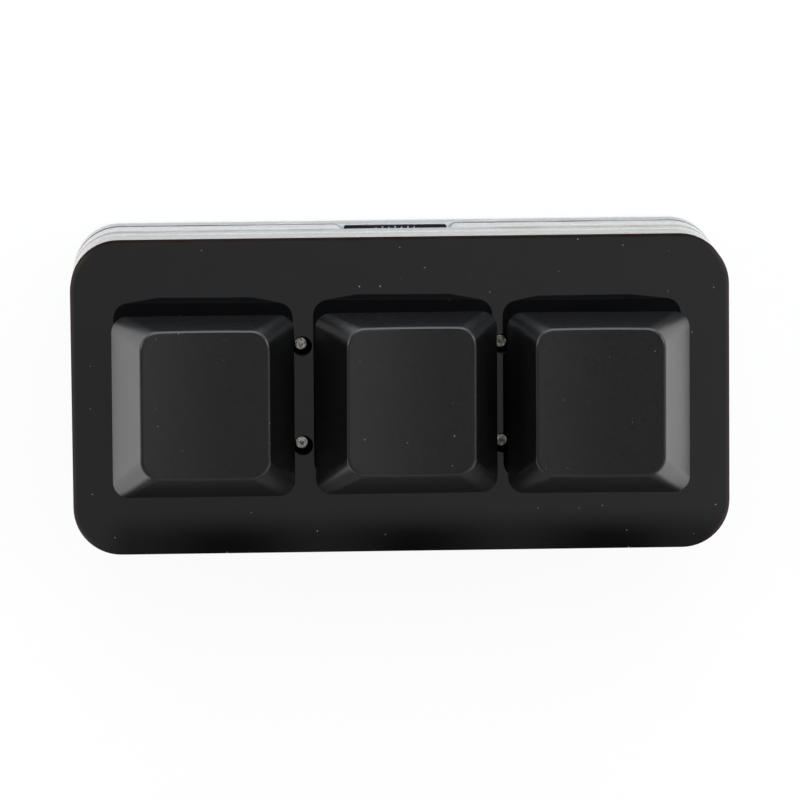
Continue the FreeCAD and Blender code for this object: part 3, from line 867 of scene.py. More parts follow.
@dataclass(frozen=True)
class ClearSheet:
    """Clear cast sheet: polished faces, laser-cut edges with fine upright ripples, and matt lines at
    given heights on those edges; the near-black lines along a joint are painted shade.
    """

    name: str
    tint: Colour = (0.90, 0.96, 0.95)
    edge_tint: Colour = (0.82, 0.90, 0.90)
    face_roughness: float = 0.02
    edge_roughness: float = 0.05
    ripples: float = 4.0
    ripple_streaks: Colour = (1.0, 1.0, 0.06)
    ripple_ends: tuple[float, float] = (0.3, 0.7)
    ripple_depth: float = 0.0012
    haze: float = 0.4
    haze_ends: tuple[float, float] = (0.4, 0.7)
    flat_ends: tuple[float, float] = (0.3, 0.7)
    line_patches: float = 0.12
    line_patch_ends: tuple[float, float] = (0.35, 0.55)
    line_patch_least: float = 0.55
    line_core: float = 0.6
    lines: tuple[CutLine, ...] = ()

    def material(self) -> bpy.types.Material:
        """Builds the material."""
        wiring = Wiring(self.name)
        flat = wiring.remap(wiring.facing_up(), *self.flat_ends)
        ripple = wiring.noise(self.ripples, 3.0, 0.6, wiring.stretched(self.ripple_streaks))
        haze = wiring.noise(self.haze, 4.0)
        edge = wiring.remap(
            ripple, *self.ripple_ends, 0.6 * self.edge_roughness, 1.4 * self.edge_roughness,
        )
        face = wiring.remap(
            haze, *self.haze_ends, 0.5 * self.face_roughness, 2 * self.face_roughness,
        )
        rough = wiring.add("ShaderNodeMix", data_type="FLOAT")
        wiring.join(flat, rough.inputs[0])
        wiring.join(edge, rough.inputs[2])
        wiring.join(face, rough.inputs[3])
        upright_share = wiring.remap(flat, 0.0, 1.0, 1.0, 0.0)
        tone = wiring.blend(flat, self.edge_tint, self.tint)
        clear: NodeEnd | float = 1.0
        height = wiring.split(wiring.point)["Z"]
        line_patches = wiring.remap(wiring.noise(self.line_patches, 3.0), *self.line_patch_ends, self.line_patch_least)
        # Each line blends the edge towards its tone, unevenly along its length; the near-black ones
        # along a joint are painted shade
        for line in self.lines:
            off = wiring.maths("ABSOLUTE", wiring.maths("SUBTRACT", height, line.level), 0.0)
            core = self.line_core * line.reach
            near = wiring.remap(off, line.reach, core, 0.0, line.strength, smooth=True)
            share = wiring.maths("MULTIPLY", wiring.maths("MULTIPLY", near, upright_share), line_patches)
            tone = wiring.blend(share, tone, line.tone)
            rest = wiring.remap(share, 0.0, 1.0, 1.0, 0.0)
            clear = rest if clear == 1.0 else wiring.maths("MULTIPLY", rest, clear)
        wiring.set(
            Base_Color=tone, Roughness=rough.outputs[0],
            Transmission_Weight=clear, IOR=1.49,
            Normal=wiring.bump(wiring.maths("MULTIPLY", ripple, upright_share), self.ripple_depth),
        )
        return wiring.material


@dataclass(frozen=True)
class BoardResist:
    """Circuit board with dark solder resist over faintly raised tracks."""

    name: str
    resist: Colour = (0.010, 0.012, 0.015)
    track: Colour = (0.022, 0.026, 0.032)
    core: Colour = (0.20, 0.17, 0.09)
    track_pitch: float = 0.9
    track_wander: float = 0.35
    track_ends: tuple[float, float] = (0.10, 0.13)
    track_height: float = 0.03
    fibres: float = 3.0
    fibre_streaks: Colour = (1.0, 1.0, 8.0)
    flat_ends: tuple[float, float] = (0.3, 0.7)
    roughness: tuple[float, float] = (0.22, 0.34)

    def material(self) -> bpy.types.Material:
        """Builds the material."""
        wiring = Wiring(self.name)
        cells = wiring.add(
            "ShaderNodeTexVoronoi", feature="DISTANCE_TO_EDGE", voronoi_dimensions="2D",
        )
        cells.inputs["Scale"].default_value = 1 / (3 * self.track_pitch)
        cells.inputs["Randomness"].default_value = self.track_wander
        wiring.join(wiring.point, cells.inputs["Vector"])
        lines = wiring.remap(cells.outputs["Distance"], *self.track_ends, 1.0, 0.0)
        tone = wiring.blend(lines, self.resist, self.track)
        flat = wiring.remap(wiring.facing_up(), *self.flat_ends)
        fibres = wiring.noise(self.fibres, 3.0, 0.6, wiring.stretched(self.fibre_streaks))
        core = wiring.blend(fibres, self.core, self.resist)
        wiring.set(
            Base_Color=wiring.blend(flat, core, tone),
            Roughness=wiring.remap(wiring.noise(6.0), 0.3, 0.7, *self.roughness), IOR=1.5,
            Normal=wiring.bump(lines, self.track_height),
        )
        return wiring.material


@dataclass(frozen=True)
class JointStrip:
    """A dull strip along a joint, on the outside of a clear wall between two levels."""

    low: float
    high: float
    material: bpy.types.Material
    slope: float = 0.3

    @classmethod
    def painted(
        cls, low: float, high: float, name: str, colour: Colour, shade: Colour,
        patches: float = 0.20,
    ) -> "JointStrip":
        """Makes a strip together with its material.

        Args:
            low: Its lower level.
            high: Its upper level.
            name: The material's name.
            colour: Its colour.
            shade: The colour of its patches.
            patches: How many waves of patches there are to a millimetre.

        Returns:
            The strip.
        """
        finish = Finish(
            name, colour, shade, 0.8, ior=1.02, patches=patches, grain=3.0, grain_depth=0.004,
            streaks=(1.0, 1.0, 0.1),
        )
        return cls(low, high, finish.material())

    def holds(self, centre: Vector, normal: Vector) -> bool:
        """Says whether a face of the finished wall belongs to the strip.

        Args:
            centre: The face's middle in metres.
            normal: Its normal.

        Returns:
            Whether it does.
        """
        outward = centre.x * normal.x + centre.y * normal.y > 0
        between = self.low * MM < centre.z < self.high * MM
        return between and abs(normal.z) < self.slope and outward


class Palette:
    """Every material of the keypad, built once."""

    def __init__(self) -> None:
        """Builds the materials from their finishes."""
        # The black plate's rim is painted light: a warm lighter band along its outline at its two
        # ends
        self.black_acrylic = Finish(
            "polished_black_acrylic", (0.0032, 0.0032, 0.0034), (0.0038, 0.0038, 0.0038), 0.02,
            roughness_spread=0.003, grain=1.5, grain_depth=0.0, dust_share=0.25, dust_size=0.078,
            dust=(0.17, 0.17, 0.16), rim=(0.034, 0.021, 0.016), rim_light_width=0.5,
        ).material()
        self.black_edge = Finish(
            "cut_edge_of_black_acrylic", (0.012, 0.006, 0.005), (0.015, 0.010, 0.009), 0.85,
            ior=1.02, grain=5.0, grain_depth=0.004, streaks=(1.0, 1.0, 0.05),
        ).material()
        self.sheets = {
            "upper_frame": ClearSheet(
                "clear_upper_sheet", edge_tint=(0.80, 0.93, 0.93), lines=(
                    CutLine(9.5, 1.0, (0.12, 0.10, 0.06)),
                    CutLine(13.0, 0.5, (0.36, 0.37, 0.38), 0.5),
                    CutLine(17.5, 1.0, (0.20, 0.15, 0.11)),
                ),
            ).material(),
            "middle_frame": ClearSheet(
                "clear_middle_sheet", lines=(
                    # Painted shade: the near-black line at the joint with the floor stands for the
                    # shade in that thin gap
                    CutLine(4.5, 1.0, (0.01, 0.01, 0.01)),
                    CutLine(6.0, 0.4, (0.30, 0.31, 0.33), 0.5),
                    CutLine(7.9, 0.7, (0.44, 0.44, 0.43), 0.6),
                    CutLine(9.5, 0.5, (0.12, 0.10, 0.06)),
                ),
            ).material(),
            "bottom_plate": ClearSheet(
                "clear_bottom_sheet", edge_tint=(0.95, 0.87, 0.86), lines=(
                    CutLine(1.5, 0.8, (0.44, 0.42, 0.41)),
                    # Painted shade: the near-black line at the joint with the middle frame stands
                    # for the shade in that thin gap
                    CutLine(4.5, 0.4, (0.01, 0.01, 0.01)),
                ),
            ).material(),
        }
        # Matt tones for each sheet's upper bevels: painted light on the upper two sheets and darker
        # painted shade on the floor, in place of what the bevels mirror
        painted_rims = {
            "upper_frame": (0.72, 0.67, 0.64),
            "middle_frame": (0.56, 0.50, 0.42),
            "bottom_plate": (0.36, 0.35, 0.35),
        }
        self.painted_rims = {
            node: Finish(
                f"painted_rim_light_and_shade_of_{node}", tone, tuple(0.85 * part for part in tone), 0.6,
                grain=3.0, grain_depth=0.004,
            ).material()
            for node, tone in painted_rims.items()
        }
        self.joint_strips = {
            # Painted shade: a dark matt strip along the joint with the floor, for the shade in that
            # thin gap
            "middle_frame": [JointStrip.painted(
                4.5, 5.6, "painted_joint_shade", (0.05, 0.05, 0.053), (0.22, 0.225, 0.235), 0.16,
            )],
            "upper_frame": [
                JointStrip.painted(
                    9.5, 11.1, "tan_joint_line", (0.26, 0.24, 0.215), (0.38, 0.365, 0.34),
                ),
                JointStrip.painted(
                    16.5, 17.5, "pink_joint_line", (0.37, 0.33, 0.305), (0.40, 0.37, 0.35),
                ),
            ],
        }
        self.cap = Finish(
            "satin_cap_plastic", (0.0034, 0.0034, 0.0036), (0.0074, 0.0073, 0.0070), 0.23,
            roughness_spread=0.03, ior=1.56, patches=4.5, grain=6.0, grain_depth=0.0050,
            dust_share=0.22, dust_size=0.08, dust=(0.12, 0.11, 0.10),
        ).material()
        self.screw = Finish(
            "machined_screw_steel", (0.92, 0.90, 0.86), (0.80, 0.77, 0.72), 0.42,
            roughness_spread=0.12, metallic=1.0, grain=7.0, grain_depth=0.03, patches=2.5,
        ).material()
        self.screw_end = Finish(
            "sheared_screw_end", (0.97, 0.95, 0.90), (0.22, 0.20, 0.17), 0.16,
            roughness_spread=0.08, metallic=1.0, grain=3.5, grain_depth=0.03, patches=2.2,
        ).material()
        self.rubber = Finish(
            "soft_foot_rubber", (0.020, 0.020, 0.020), (0.028, 0.028, 0.027), 0.75,
            grain=6.0, grain_depth=0.01, dust_share=0.4,
        ).material()
        self.nylon = Finish(
            "natural_nylon", (0.74, 0.74, 0.69), (0.68, 0.68, 0.62), 0.45, grain=4.0,
        ).material()
        self.housing = Finish(
            "moulded_black_nylon", (0.012, 0.012, 0.012), (0.016, 0.016, 0.016), 0.42,
            grain=7.0, grain_depth=0.004,
        ).material()
        self.stem = Finish(
            "brown_acetal", (0.20, 0.095, 0.042), (0.17, 0.08, 0.035), 0.35, grain=4.0,
        ).material()
        self.gold = Finish(
            "gold_plate", (0.78, 0.56, 0.24), (0.70, 0.50, 0.20), 0.22, metallic=1.0,
            grain=6.0, grain_depth=0.001,
        ).material()
        self.socket = Finish(
            "nickel_plated_steel", (0.62, 0.61, 0.59), (0.54, 0.53, 0.51), 0.22, metallic=1.0,
            grain=3.0, grain_depth=0.001, streaks=(1.0, 0.15, 1.0),
        ).material()
        self.resin = Finish(
            "moulded_chip_resin", (0.014, 0.014, 0.015), (0.020, 0.020, 0.020), 0.58,
            grain=10.0, grain_depth=0.006,
        ).material()
        self.tin = Finish(
            "bright_tin", (0.70, 0.70, 0.69), (0.58, 0.58, 0.57), 0.26, metallic=1.0,
            grain=4.0, grain_depth=0.003, patches=3.0,
        ).material()
        self.ceramic = Finish(
            "tan_ceramic", (0.36, 0.24, 0.14), (0.30, 0.20, 0.11), 0.40, grain=12.0,
        ).material()
        self.spring = Finish(
            "drawn_spring_wire", (0.55, 0.54, 0.52), (0.45, 0.44, 0.43), 0.30, metallic=1.0,
            grain=12.0, grain_depth=0.001,
        ).material()
        self.copper = Finish(
            "rolled_copper_strip", (0.72, 0.40, 0.26), (0.62, 0.34, 0.22), 0.28, metallic=1.0,
            grain=5.0, grain_depth=0.001, streaks=(1.0, 1.0, 0.2),
        ).material()
        self.board = BoardResist("black_board_resist").material()
        self.lip = Finish(
            "blue_black_resist", (0.016, 0.012, 0.010), (0.004, 0.010, 0.022), 0.5,
            ior=1.2, grain=5.0, grain_depth=0.004, patches=1.2,
        ).material()


# The case


@dataclass
class LayeredCase:
    """The stack of sheet layers: a black top plate, two clear frames and a clear floor."""

    palette: Palette
    corner_segments: int = 14
    wall: float = 3.0
    joint_gap: float = 0.012
    edge: float = 0.10
    key_opening: float = 14.0
    tapped_radius: float = 1.0
    tapped_sides: int = 40
    hole_shift: tuple[float, float] = (0.12, -0.1)
    clear_radius: float = 1.1
    head_seat_radius: float = 2.1
    head_seat_depth: float = 1.4
    head_seat_sides: int = 48
    port_gap_width: float = 10.6
    port_gap_corner: float = 1.0
    screw_middle: tuple[float, float] = (0.05, 0.23)
    screw_spacing: tuple[float, float] = (20.0, 10.0)
    cut_slope: float = 0.8
    rim_slopes: tuple[float, float] = (0.2, 0.95)

    def screw_places(self) -> list[Place]:
        """Gives the middle of each screw."""
        reach_x, reach_y = self.screw_spacing[0] / 2, self.screw_spacing[1] / 2
        return [
            (self.screw_middle[0] + side_x * reach_x, self.screw_middle[1] + side_y * reach_y)
            for side_x in (-1, 1)
            for side_y in (-1, 1)
        ]

    def sheet(self, node: str) -> Piece:
        """Cuts one layer's outline with its round corners.

        Args:
            node: The CAD node that gives its place.

        Returns:
            The layer, a hair thinner than its node.
        """
        low, high = corners(node)
        gap = Vector((0, 0, self.joint_gap))
        piece = add_box(f"{node}_sheet", low + gap, high - gap)
        round_edges(piece, OUTLINE_CORNER, upright, self.corner_segments)
        return piece

    def frame_layer(self, node: str) -> Piece:
        """Makes a layer with a large opening inside a wall of even width.

        Args:
            node: The CAD node that gives its place.

        Returns:
            The layer.
        """
        piece = self.sheet(node)
        with editing(piece):
            choose_faces(lambda centre, normal: abs(normal.z) > FACING)
            inset(self.wall)
            bpy.ops.mesh.bridge_edge_loops()
        return piece

    def finish_sheet(self, piece: Piece, node: str) -> None:
        """Finishes a clear layer, with a matt coat of painted light and shade on its upper rim, and
        coated strips along its joints.

        Args:
            piece: The layer.
            node: The CAD node that it stands for.
        """
        soften(piece, self.edge)
        strips = self.palette.joint_strips.get(node, [])
        for strip in strips:
            for level in (strip.low, strip.high):
                with editing(piece):
                    bpy.ops.mesh.select_all(action="SELECT")
                    bpy.ops.mesh.bisect(plane_co=(0, 0, level), plane_no=(0, 0, 1))
        finish_piece(piece, self.palette.sheets[node], replaces=[node])
        # Painted light and shade: the upward bevels get an opaque matt tone instead of mirroring
        # their surroundings
        least, most = self.rim_slopes
        coat(piece, self.palette.painted_rims[node], lambda centre, normal: least < normal.z < most)
        for strip in strips:
            coat(piece, strip.material, strip.holds)

    def build_top_plate(self) -> None:
        """Makes the black top plate with square openings and tapped holes."""
        node = "top_plate"
        piece = self.sheet(node)
        low, high = corners(node)
        half = self.key_opening / 2
        for side in Side:
            merge(piece, add_box(
                "opening", (side.x - half, -half, low.z - OVERCUT),
                (side.x + half, half, high.z + OVERCUT),
            ))
        length = high.z - low.z + 2 * OVERCUT
        for x, y in self.screw_places():
            foot = (x + self.hole_shift[0], y + self.hole_shift[1], low.z - OVERCUT)
            merge(piece, add_rod("hole", self.tapped_radius, foot, length, self.tapped_sides))
        soften(piece, self.edge)
        finish_piece(piece, self.palette.black_acrylic, replaces=[node])
        coat(piece, self.palette.black_edge, lambda centre, normal: abs(normal.z) < self.cut_slope)

    def build_middle_frame(self) -> None:
        """Makes the clear frame with the gap for the socket in its back wall."""
        node = "middle_frame"
        piece = self.frame_layer(node)
        low, high = corners(node)
        half = self.port_gap_width / 2
        merge(piece, add_box(
            "gap", (-half, high.y - 2 * self.wall, low.z - OVERCUT),
            (half, high.y + OVERCUT, high.z + OVERCUT),
        ))

        def beside_gap(centre: Vector, way: Vector, fold: float) -> bool:
            """Says whether an edge is an outer corner of the gap."""
            near = abs(centre.x) < half + NEAR and centre.y > high.y - NEAR
            return near and upright(centre, way, fold)

        round_edges(piece, self.port_gap_corner, beside_gap, segments=6)
        self.finish_sheet(piece, node)

    def build_floor(self) -> None:
        """Makes the clear floor with its holes and sunk seats for the screw heads."""
        node = "bottom_plate"
        piece = self.sheet(node)
        low, high = corners(node)
        for x, y in self.screw_places():
            foot = (x, y, low.z - OVERCUT)
            hole = add_rod("hole", self.clear_radius, foot, high.z - low.z + 2 * OVERCUT)
            depth = OVERCUT + self.head_seat_depth
            seat = add_rod("seat", self.head_seat_radius, foot, depth, self.head_seat_sides)
            merge(piece, hole, seat)
        self.finish_sheet(piece, node)

    def build(self) -> None:
        """Builds every layer."""
        self.build_top_plate()
        self.finish_sheet(self.frame_layer("upper_frame"), "upper_frame")
        self.build_middle_frame()
        self.build_floor()


@dataclass
class Spacers:
    """The tubes around the screws, above and below the controller board."""

    palette: Palette
    places: Sequence[Place]
    bore: float
    edge: float = 0.15
    sides: int = 40

    def build(self) -> None:
        """Makes one tube and its copies for each level."""
        x, y = self.places[0]
        for node in ("upper_spacers", "lower_spacers"):
            low, high = corners(node)
            length = high.z - low.z
            tube = add_rod(node, x - low.x, (x, y, low.z), length, self.sides)
            foot = (x, y, low.z - OVERCUT)
            merge(tube, add_rod("bore", self.bore, foot, length + 2 * OVERCUT, self.sides))
            soften(tube, self.edge)
            for piece in copy_to_places(tube, node, self.places):
                finish_piece(piece, self.palette.nylon, replaces=[node])


@dataclass
class RubberFeet:
    """The four round feet, each with a soft rim and a sunk sole."""

    palette: Palette
    radius: float = 3.0
    sides: int = 64
    rim: float = 0.4
    sole_rim: float = 0.5
    sole_slope: float = 0.15
    sole_depth: float = 0.12

    def build(self) -> None:
        """Makes one foot and its copies."""
        low, high = corners("rubber_feet")
        places = [
            (x, y)
            for x in (low.x + self.radius, high.x - self.radius)
            for y in (low.y + self.radius, high.y - self.radius)
        ]
        foot = add_rod("foot", self.radius, (*places[0], low.z), high.z - low.z, self.sides)
        round_edges(foot, self.rim, around_foot(low.z), segments=4)
        with editing(foot):
            choose_faces(lambda centre, normal: normal.z < -ALONG)
            inset(self.sole_rim)
            inset(self.sole_slope, -self.sole_depth)
        for piece in copy_to_places(foot, "foot", places):
            finish_piece(piece, self.palette.rubber, replaces=["rubber_feet"])


@dataclass
class MachineScrews:
    """The four screws that hold the stack: pan head, cross recess, thread and cut tip."""

    palette: Palette
    places: Sequence[Place]
    head_radius: float = 1.9
    head_height: float = 1.3
    head_rim: float = 0.45
    head_sides: int = 48
    recess_half: float = 1.1
    recess_width: float = 0.44
    recess_depth: float = 0.7
    recess_taper: tuple[float, float] = (0.45, 0.6)
    shank_radius: float = 0.82
    shank_sides: int = 40
    shank_overlap: float = 0.1
    thread_radius: float = 0.97
    thread_length: float = 5.0
    thread_sides: int = 4
    thread_steps: int = 18
    pitch: float = 0.4
    ridge_share: float = 0.45
    tip_radius: float = 0.58
    tip_length: float = 0.33
    dimple_radius: float = 0.22
    dimple_slope: float = 0.6
    dimple_depth: float = 0.16
    end_slope: float = 0.4

    def blade(self, middle: Vector, turn: float) -> Piece:
        """Makes one arm of the cross recess as a cutting shape.

        Args:
            middle: The middle of the head's lower face.
            turn: The arm's angle about Z.

        Returns:
            The blade, narrower where it is deep.
        """
        x, y, z = middle
        half, side, end = self.recess_half, self.recess_width / 2, z + self.recess_depth
        blade = add_box("blade", (x - half, y - side, z - OVERCUT), (x + half, y + side, end))
        with editing(blade):
            choose_faces(looks_up)
            resize((*self.recess_taper, 1), (x, y, end))
        with editing(blade):
            bpy.ops.mesh.select_all(action="SELECT")
            bpy.ops.transform.rotate(value=turn, orient_axis="Z", center_override=(x, y, 0))
        return blade

    def thread(self, foot: Vector, length: float) -> Piece:
        """Winds the thread around the shank.

        Args:
            foot: The middle of its lower end.
            length: How far it reaches up.

        Returns:
            The thread as a closed strip.
        """
        ridge = self.pitch * self.ridge_share
        turns = int((length - 2 * ridge) / self.pitch)
        return wind_coil(
            "thread", self.thread_radius - ridge, ridge, self.thread_sides, self.pitch, turns,
            self.thread_steps, foot + Vector((0, 0, ridge)),
        )

    def build(self) -> None:
        """Makes one screw and its copies."""
        low, high = corners("case_screws")
        x, y = self.places[0]
        seat = low.z + self.head_height
        screw = add_rod(
            "case_screw", self.head_radius, (x, y, low.z), self.head_height, self.head_sides,
        )
        round_edges(screw, self.head_rim, around_foot(low.z), segments=4)
        for turn in (0, math.pi / 2):
            merge(screw, self.blade(Vector((x, y, low.z)), turn))
        shank_foot = (x, y, seat - self.shank_overlap)
        shank = add_rod(
            "shank", self.shank_radius, shank_foot, high.z - shank_foot[2], self.shank_sides,
        )
        merge(screw, shank, step=Step.JOIN)

        def end_rim(centre: Vector, way: Vector, fold: float) -> bool:
            """Says whether an edge is on the rim of the screw's end."""
            return fold > SHARP and centre.z > high.z - NEAR

        round_edges(screw, self.shank_radius - self.tip_radius, end_rim, segments=1)
        with editing(screw):
            choose_faces(lambda centre, normal: normal.z > ALONG and centre.z > high.z - NEAR)
            inset(self.tip_radius - self.dimple_radius)
            inset(self.dimple_radius * self.dimple_slope, -self.dimple_depth)
        foot = Vector((x, y, high.z - self.thread_length))
        gather(screw, self.thread(foot, self.thread_length - self.tip_length))
        level = (high.z - self.tip_length) * MM
        for piece in copy_to_places(screw, "case_screw", self.places):
            finish_piece(piece, self.palette.screw, replaces=["case_screws"])
            coat(
                piece, self.palette.screw_end,
                lambda centre, normal: centre.z > level and normal.z > self.end_slope,
            )


# The keys


@dataclass(frozen=True)
class Seat:
    """How a cap sits on its stem: a small shift, and a small lean in degrees."""

    way: Triple
    lean: Triple


SEATS = {
    Side.LEFT: Seat((0.0, -0.02, -0.05), (-0.8, 1.4, -0.24)),
    Side.MIDDLE: Seat((0.1, 0.08, -0.1), (-0.9, 2.0, -0.22)),
    Side.RIGHT: Seat((-0.1, -0.17, -0.22), (-0.1, -2.0, -0.06)),
}


@dataclass
class KeyCap:
    """A hollow key cap with tapering sides, a dished top, a cross socket and ribs."""

    palette: Palette
    side_inset: float = 2.82
    back_inset: float = 0.65
    front_inset: float = 2.97
    trim: float = 0.3
    corner: float = 1.6
    top_corner: float = 1.9
    corner_segments: int = 10
    wall: float = 1.4
    cavity: float = 6.6
    rim_height: float = 8.9
    tilt: float = 3.9
    dish_radius: float = 45.0
    dish_half_width: float = 6.2
    dish_sides: int = 300
    dish_rows: int = 6
    dish_slope: float = 0.97
    rim: float = 0.38
    rim_segments: int = 8
    rim_profile: float = 0.68
    rim_fold: float = 40
    foot_edge: float = 0.06
    post_radius: float = 2.7
    post_sides: int = 48
    post_lift: float = 1.2
    post_edge: float = 0.08
    cross_span: float = 4.4
    cross_x: float = 1.6
    cross_y: float = 1.4
    cross_top: float = 4.8
    pivot_height: float = 29.5
    rib: float = 0.8
    rib_height: float = 1.3
    weld: float = 0.3
    hollow_play: float = 0.4
    hollow_height: float = 4.0
    smooth_angle: float = 38

    def roof_rise(self, size: float) -> float:
        """Gives how high the middle of the uncut top lies above a cap's foot."""
        deep = size - self.front_inset - self.back_inset
        return self.rim_height + self.trim - math.tan(math.radians(self.tilt)) * deep / 2

    def outline(
        self, name: str, size: Place, corner: float, centre: Sequence[float], tilt: float = 0.0,
    ) -> Piece:
        """Draws a rectangle with round corners.

        Args:
            name: The piece's name.
            size: Its sizes along X and Y.
            corner: The radius of its corners.
            centre: Its middle.
            tilt: How far its back is lifted, as an angle.

        Returns:
            The rectangle as a flat face.
        """
        bpy.ops.object.select_all(action="DESELECT")
        bpy.ops.mesh.primitive_plane_add(size=1, location=(0, 0, 0))
        piece = bpy.context.active_object
        piece.name = name
        piece.scale = (*size, 1)
        settle(piece)
        with editing(piece, "VERT"):
            bpy.ops.mesh.select_all(action="SELECT")
            bpy.ops.mesh.bevel(
                offset=corner, segments=self.corner_segments, affect="VERTICES", profile=0.5,
            )
        piece.rotation_euler = (tilt, 0, 0)
        piece.location = centre
        settle(piece)
        return piece

    def taper(self, low: Vector, high: Vector) -> Piece:
        """Makes the tapering outside with its hollow, and a flat top that is still too high.

        Args:
            low: The cap's lowest corner.
            high: Its highest corner.

        Returns:
            The shape.
        """
        size = high.x - low.x
        x, y, foot = (low.x + high.x) / 2, (low.y + high.y) / 2, low.z
        lean_angle = math.radians(self.tilt)
        wide = size - 2 * self.side_inset
        deep = size - self.front_inset - self.back_inset
        lean = (self.front_inset - self.back_inset) / 2
        rise = self.roof_rise(size)
        piece = self.outline("keycap_shell", (size, size), self.corner, (x, y, foot))
        upper = self.outline(
            "upper_outline", (wide, deep / math.cos(lean_angle)), self.top_corner,
            (x, y + lean, foot + rise), lean_angle,
        )
        gather(piece, upper)
        with editing(piece, "EDGE"):
            bpy.ops.mesh.select_all(action="SELECT")
            bpy.ops.mesh.bridge_edge_loops()
            bpy.ops.mesh.select_all(action="DESELECT")
            bpy.ops.mesh.select_non_manifold()
            bpy.ops.mesh.fill_holes(sides=0)
            bpy.ops.mesh.select_all(action="SELECT")
            bpy.ops.mesh.normals_make_consistent(inside=False)

        share = self.cavity / rise
        inner = size - 2 * self.wall
        room_x = (inner - 2 * self.side_inset * share) / inner
        room_y = (inner - (self.front_inset + self.back_inset) * share) / inner
        with editing(piece):
            choose_faces(looks_down)
            inset(self.wall)
            extrude((0, 0, self.cavity))
            resize((room_x, room_y, 1), (x, y, foot + self.cavity))
            shift((0, lean * share, 0))
        return piece

    def dish(self, low: Vector, high: Vector) -> Piece:
        """Makes the long rod that cuts the dished top.

        Args:
            low: The cap's lowest corner.
            high: Its highest corner.

        Returns:
            The rod. Each rim of the dish lies well inside one of its facets.
        """
        size = high.x - low.x
        x, y, foot = (low.x + high.x) / 2, (low.y + high.y) / 2, low.z
        lean_angle = math.radians(self.tilt)
        lift = math.sqrt(self.dish_radius ** 2 - self.dish_half_width ** 2)
        back = size / 2 - self.back_inset
        axis = Vector((0, -math.cos(lean_angle), -math.sin(lean_angle)))
        start = Vector((
            x, y + back + size / 2 - lift * math.sin(lean_angle),
            foot + self.rim_height + lift * math.cos(lean_angle) + math.tan(lean_angle) * size / 2,
        ))
        middle = start + axis * size
        return add_rod(
            "dish", self.dish_radius, middle - Vector((0, 0, size)), 2 * size, self.dish_sides,
            (math.pi / 2 + lean_angle, 0, 0),
        )

    def shell(self, low: Vector, high: Vector) -> Piece:
        """Makes the hollow outside with its dish and rounded rims.

        Args:
            low: The cap's lowest corner.
            high: Its highest corner.

        Returns:
            The shell.
        """
        size, foot = high.x - low.x, low.z
        piece = self.taper(low, high)
        merge(piece, self.dish(low, high))

        def on_rim(centre: Vector, way: Vector, fold: float) -> bool:
            """Says whether an edge is on the rim around the dish."""
            return fold > self.rim_fold and centre.z > foot + self.cavity + NEAR

        def on_foot(centre: Vector, way: Vector, fold: float) -> bool:
            """Says whether an edge is on the lower rim of the skirt."""
            return fold > self.rim_fold and centre.z < foot + NEAR

        def on_top(centre: Vector, normal: Vector) -> bool:
            """Says whether a face belongs to the dish."""
            return normal.z > self.dish_slope and centre.z > foot + self.cavity

        round_edges(piece, self.rim, on_rim, self.rim_segments, self.rim_profile)
        round_edges(piece, self.foot_edge, on_foot, segments=2)
        deep = size - self.front_inset - self.back_inset
        for row in range(1, self.dish_rows):
            level = (low.y + high.y - size) / 2 + self.front_inset + row * deep / self.dish_rows
            with editing(piece):
                choose_faces(on_top)
                bpy.ops.mesh.bisect(plane_co=(0, level, 0), plane_no=(0, 1, 0))
        return piece

    def post(self, middle: Vector, roof: float) -> Piece:
        """Makes the post with its cross socket for the stem.

        Args:
            middle: The middle of the cap's foot.
            roof: How high the post reaches.

        Returns:
            The post.
        """
        x, y, foot = middle
        post_foot = foot + self.post_lift
        piece = add_rod(
            "post", self.post_radius, (x, y, post_foot), roof - post_foot, self.post_sides,
        )
        half = self.cross_span / 2
        for reach_x, reach_y in ((half, self.cross_x / 2), (self.cross_y / 2, half)):
            merge(piece, add_box(
                "slot", (x - reach_x, y - reach_y, post_foot - OVERCUT),
                (x + reach_x, y + reach_y, foot + self.cross_top),
            ))
        soften(piece, self.post_edge, segments=1)
        return piece

    def ribs(self, size: float, middle: Vector, roof: float) -> Piece:
        """Makes the two crossing ribs under the cap's roof.

        Args:
            size: The width of the cap's foot.
            middle: The middle of the cap's foot.
            roof: How high the ribs reach.

        Returns:
            The ribs, open where the post is.
        """
        x, y, foot = middle
        share = self.cavity / self.roof_rise(size)
        room = size - 2 * self.wall
        reach_x = (room - 2 * self.side_inset * share) / 2 + self.weld
        reach_y = (room - (self.front_inset + self.back_inset) * share) / 2 + self.weld
        across_y = y + (self.front_inset - self.back_inset) / 2 * share
        low, half = foot + self.cavity - self.rib_height, self.rib / 2
        piece = add_box("ribs", (x - reach_x, y - half, low), (x + reach_x, y + half, roof))
        across = add_box(
            "across", (x - half, across_y - reach_y, low), (x + half, across_y + reach_y, roof),
        )
        merge(piece, across, step=Step.JOIN)
        merge(piece, add_rod(
            "hollow", self.post_radius - self.hollow_play, (x, y, low - OVERCUT),
            self.hollow_height,
        ))
        return piece

    @staticmethod
    def seat(cap: Piece, pivot: Vector, seat: Seat) -> None:
        """Leans a cap about a point on its stem.

        Args:
            cap: The cap.
            pivot: The point.
            seat: The lean and the shift.
        """
        turn = Euler([math.radians(angle) for angle in seat.lean])
        cap.rotation_euler = turn
        cap.location = pivot - turn.to_matrix() @ pivot + Vector(seat.way)
        settle(cap)

    def build(self) -> None:
        """Makes one cap and its copies."""
        low, high = corners("keycap_left")
        middle = Vector(((low.x + high.x) / 2, (low.y + high.y) / 2, low.z))
        roof = low.z + self.cavity + self.weld
        piece = self.shell(low, high)
        post = self.post(middle, roof)
        merge(piece, post, self.ribs(high.x - low.x, middle, roof), step=Step.JOIN)
        for side, cap in copy_to_keys(piece, "keycap_shell").items():
            self.seat(cap, Vector((side.x, middle.y, self.pivot_height)), SEATS[side])
            finish_piece(
                cap, self.palette.cap, side.body, [side.node("keycap")],
                self.smooth_angle,
            )


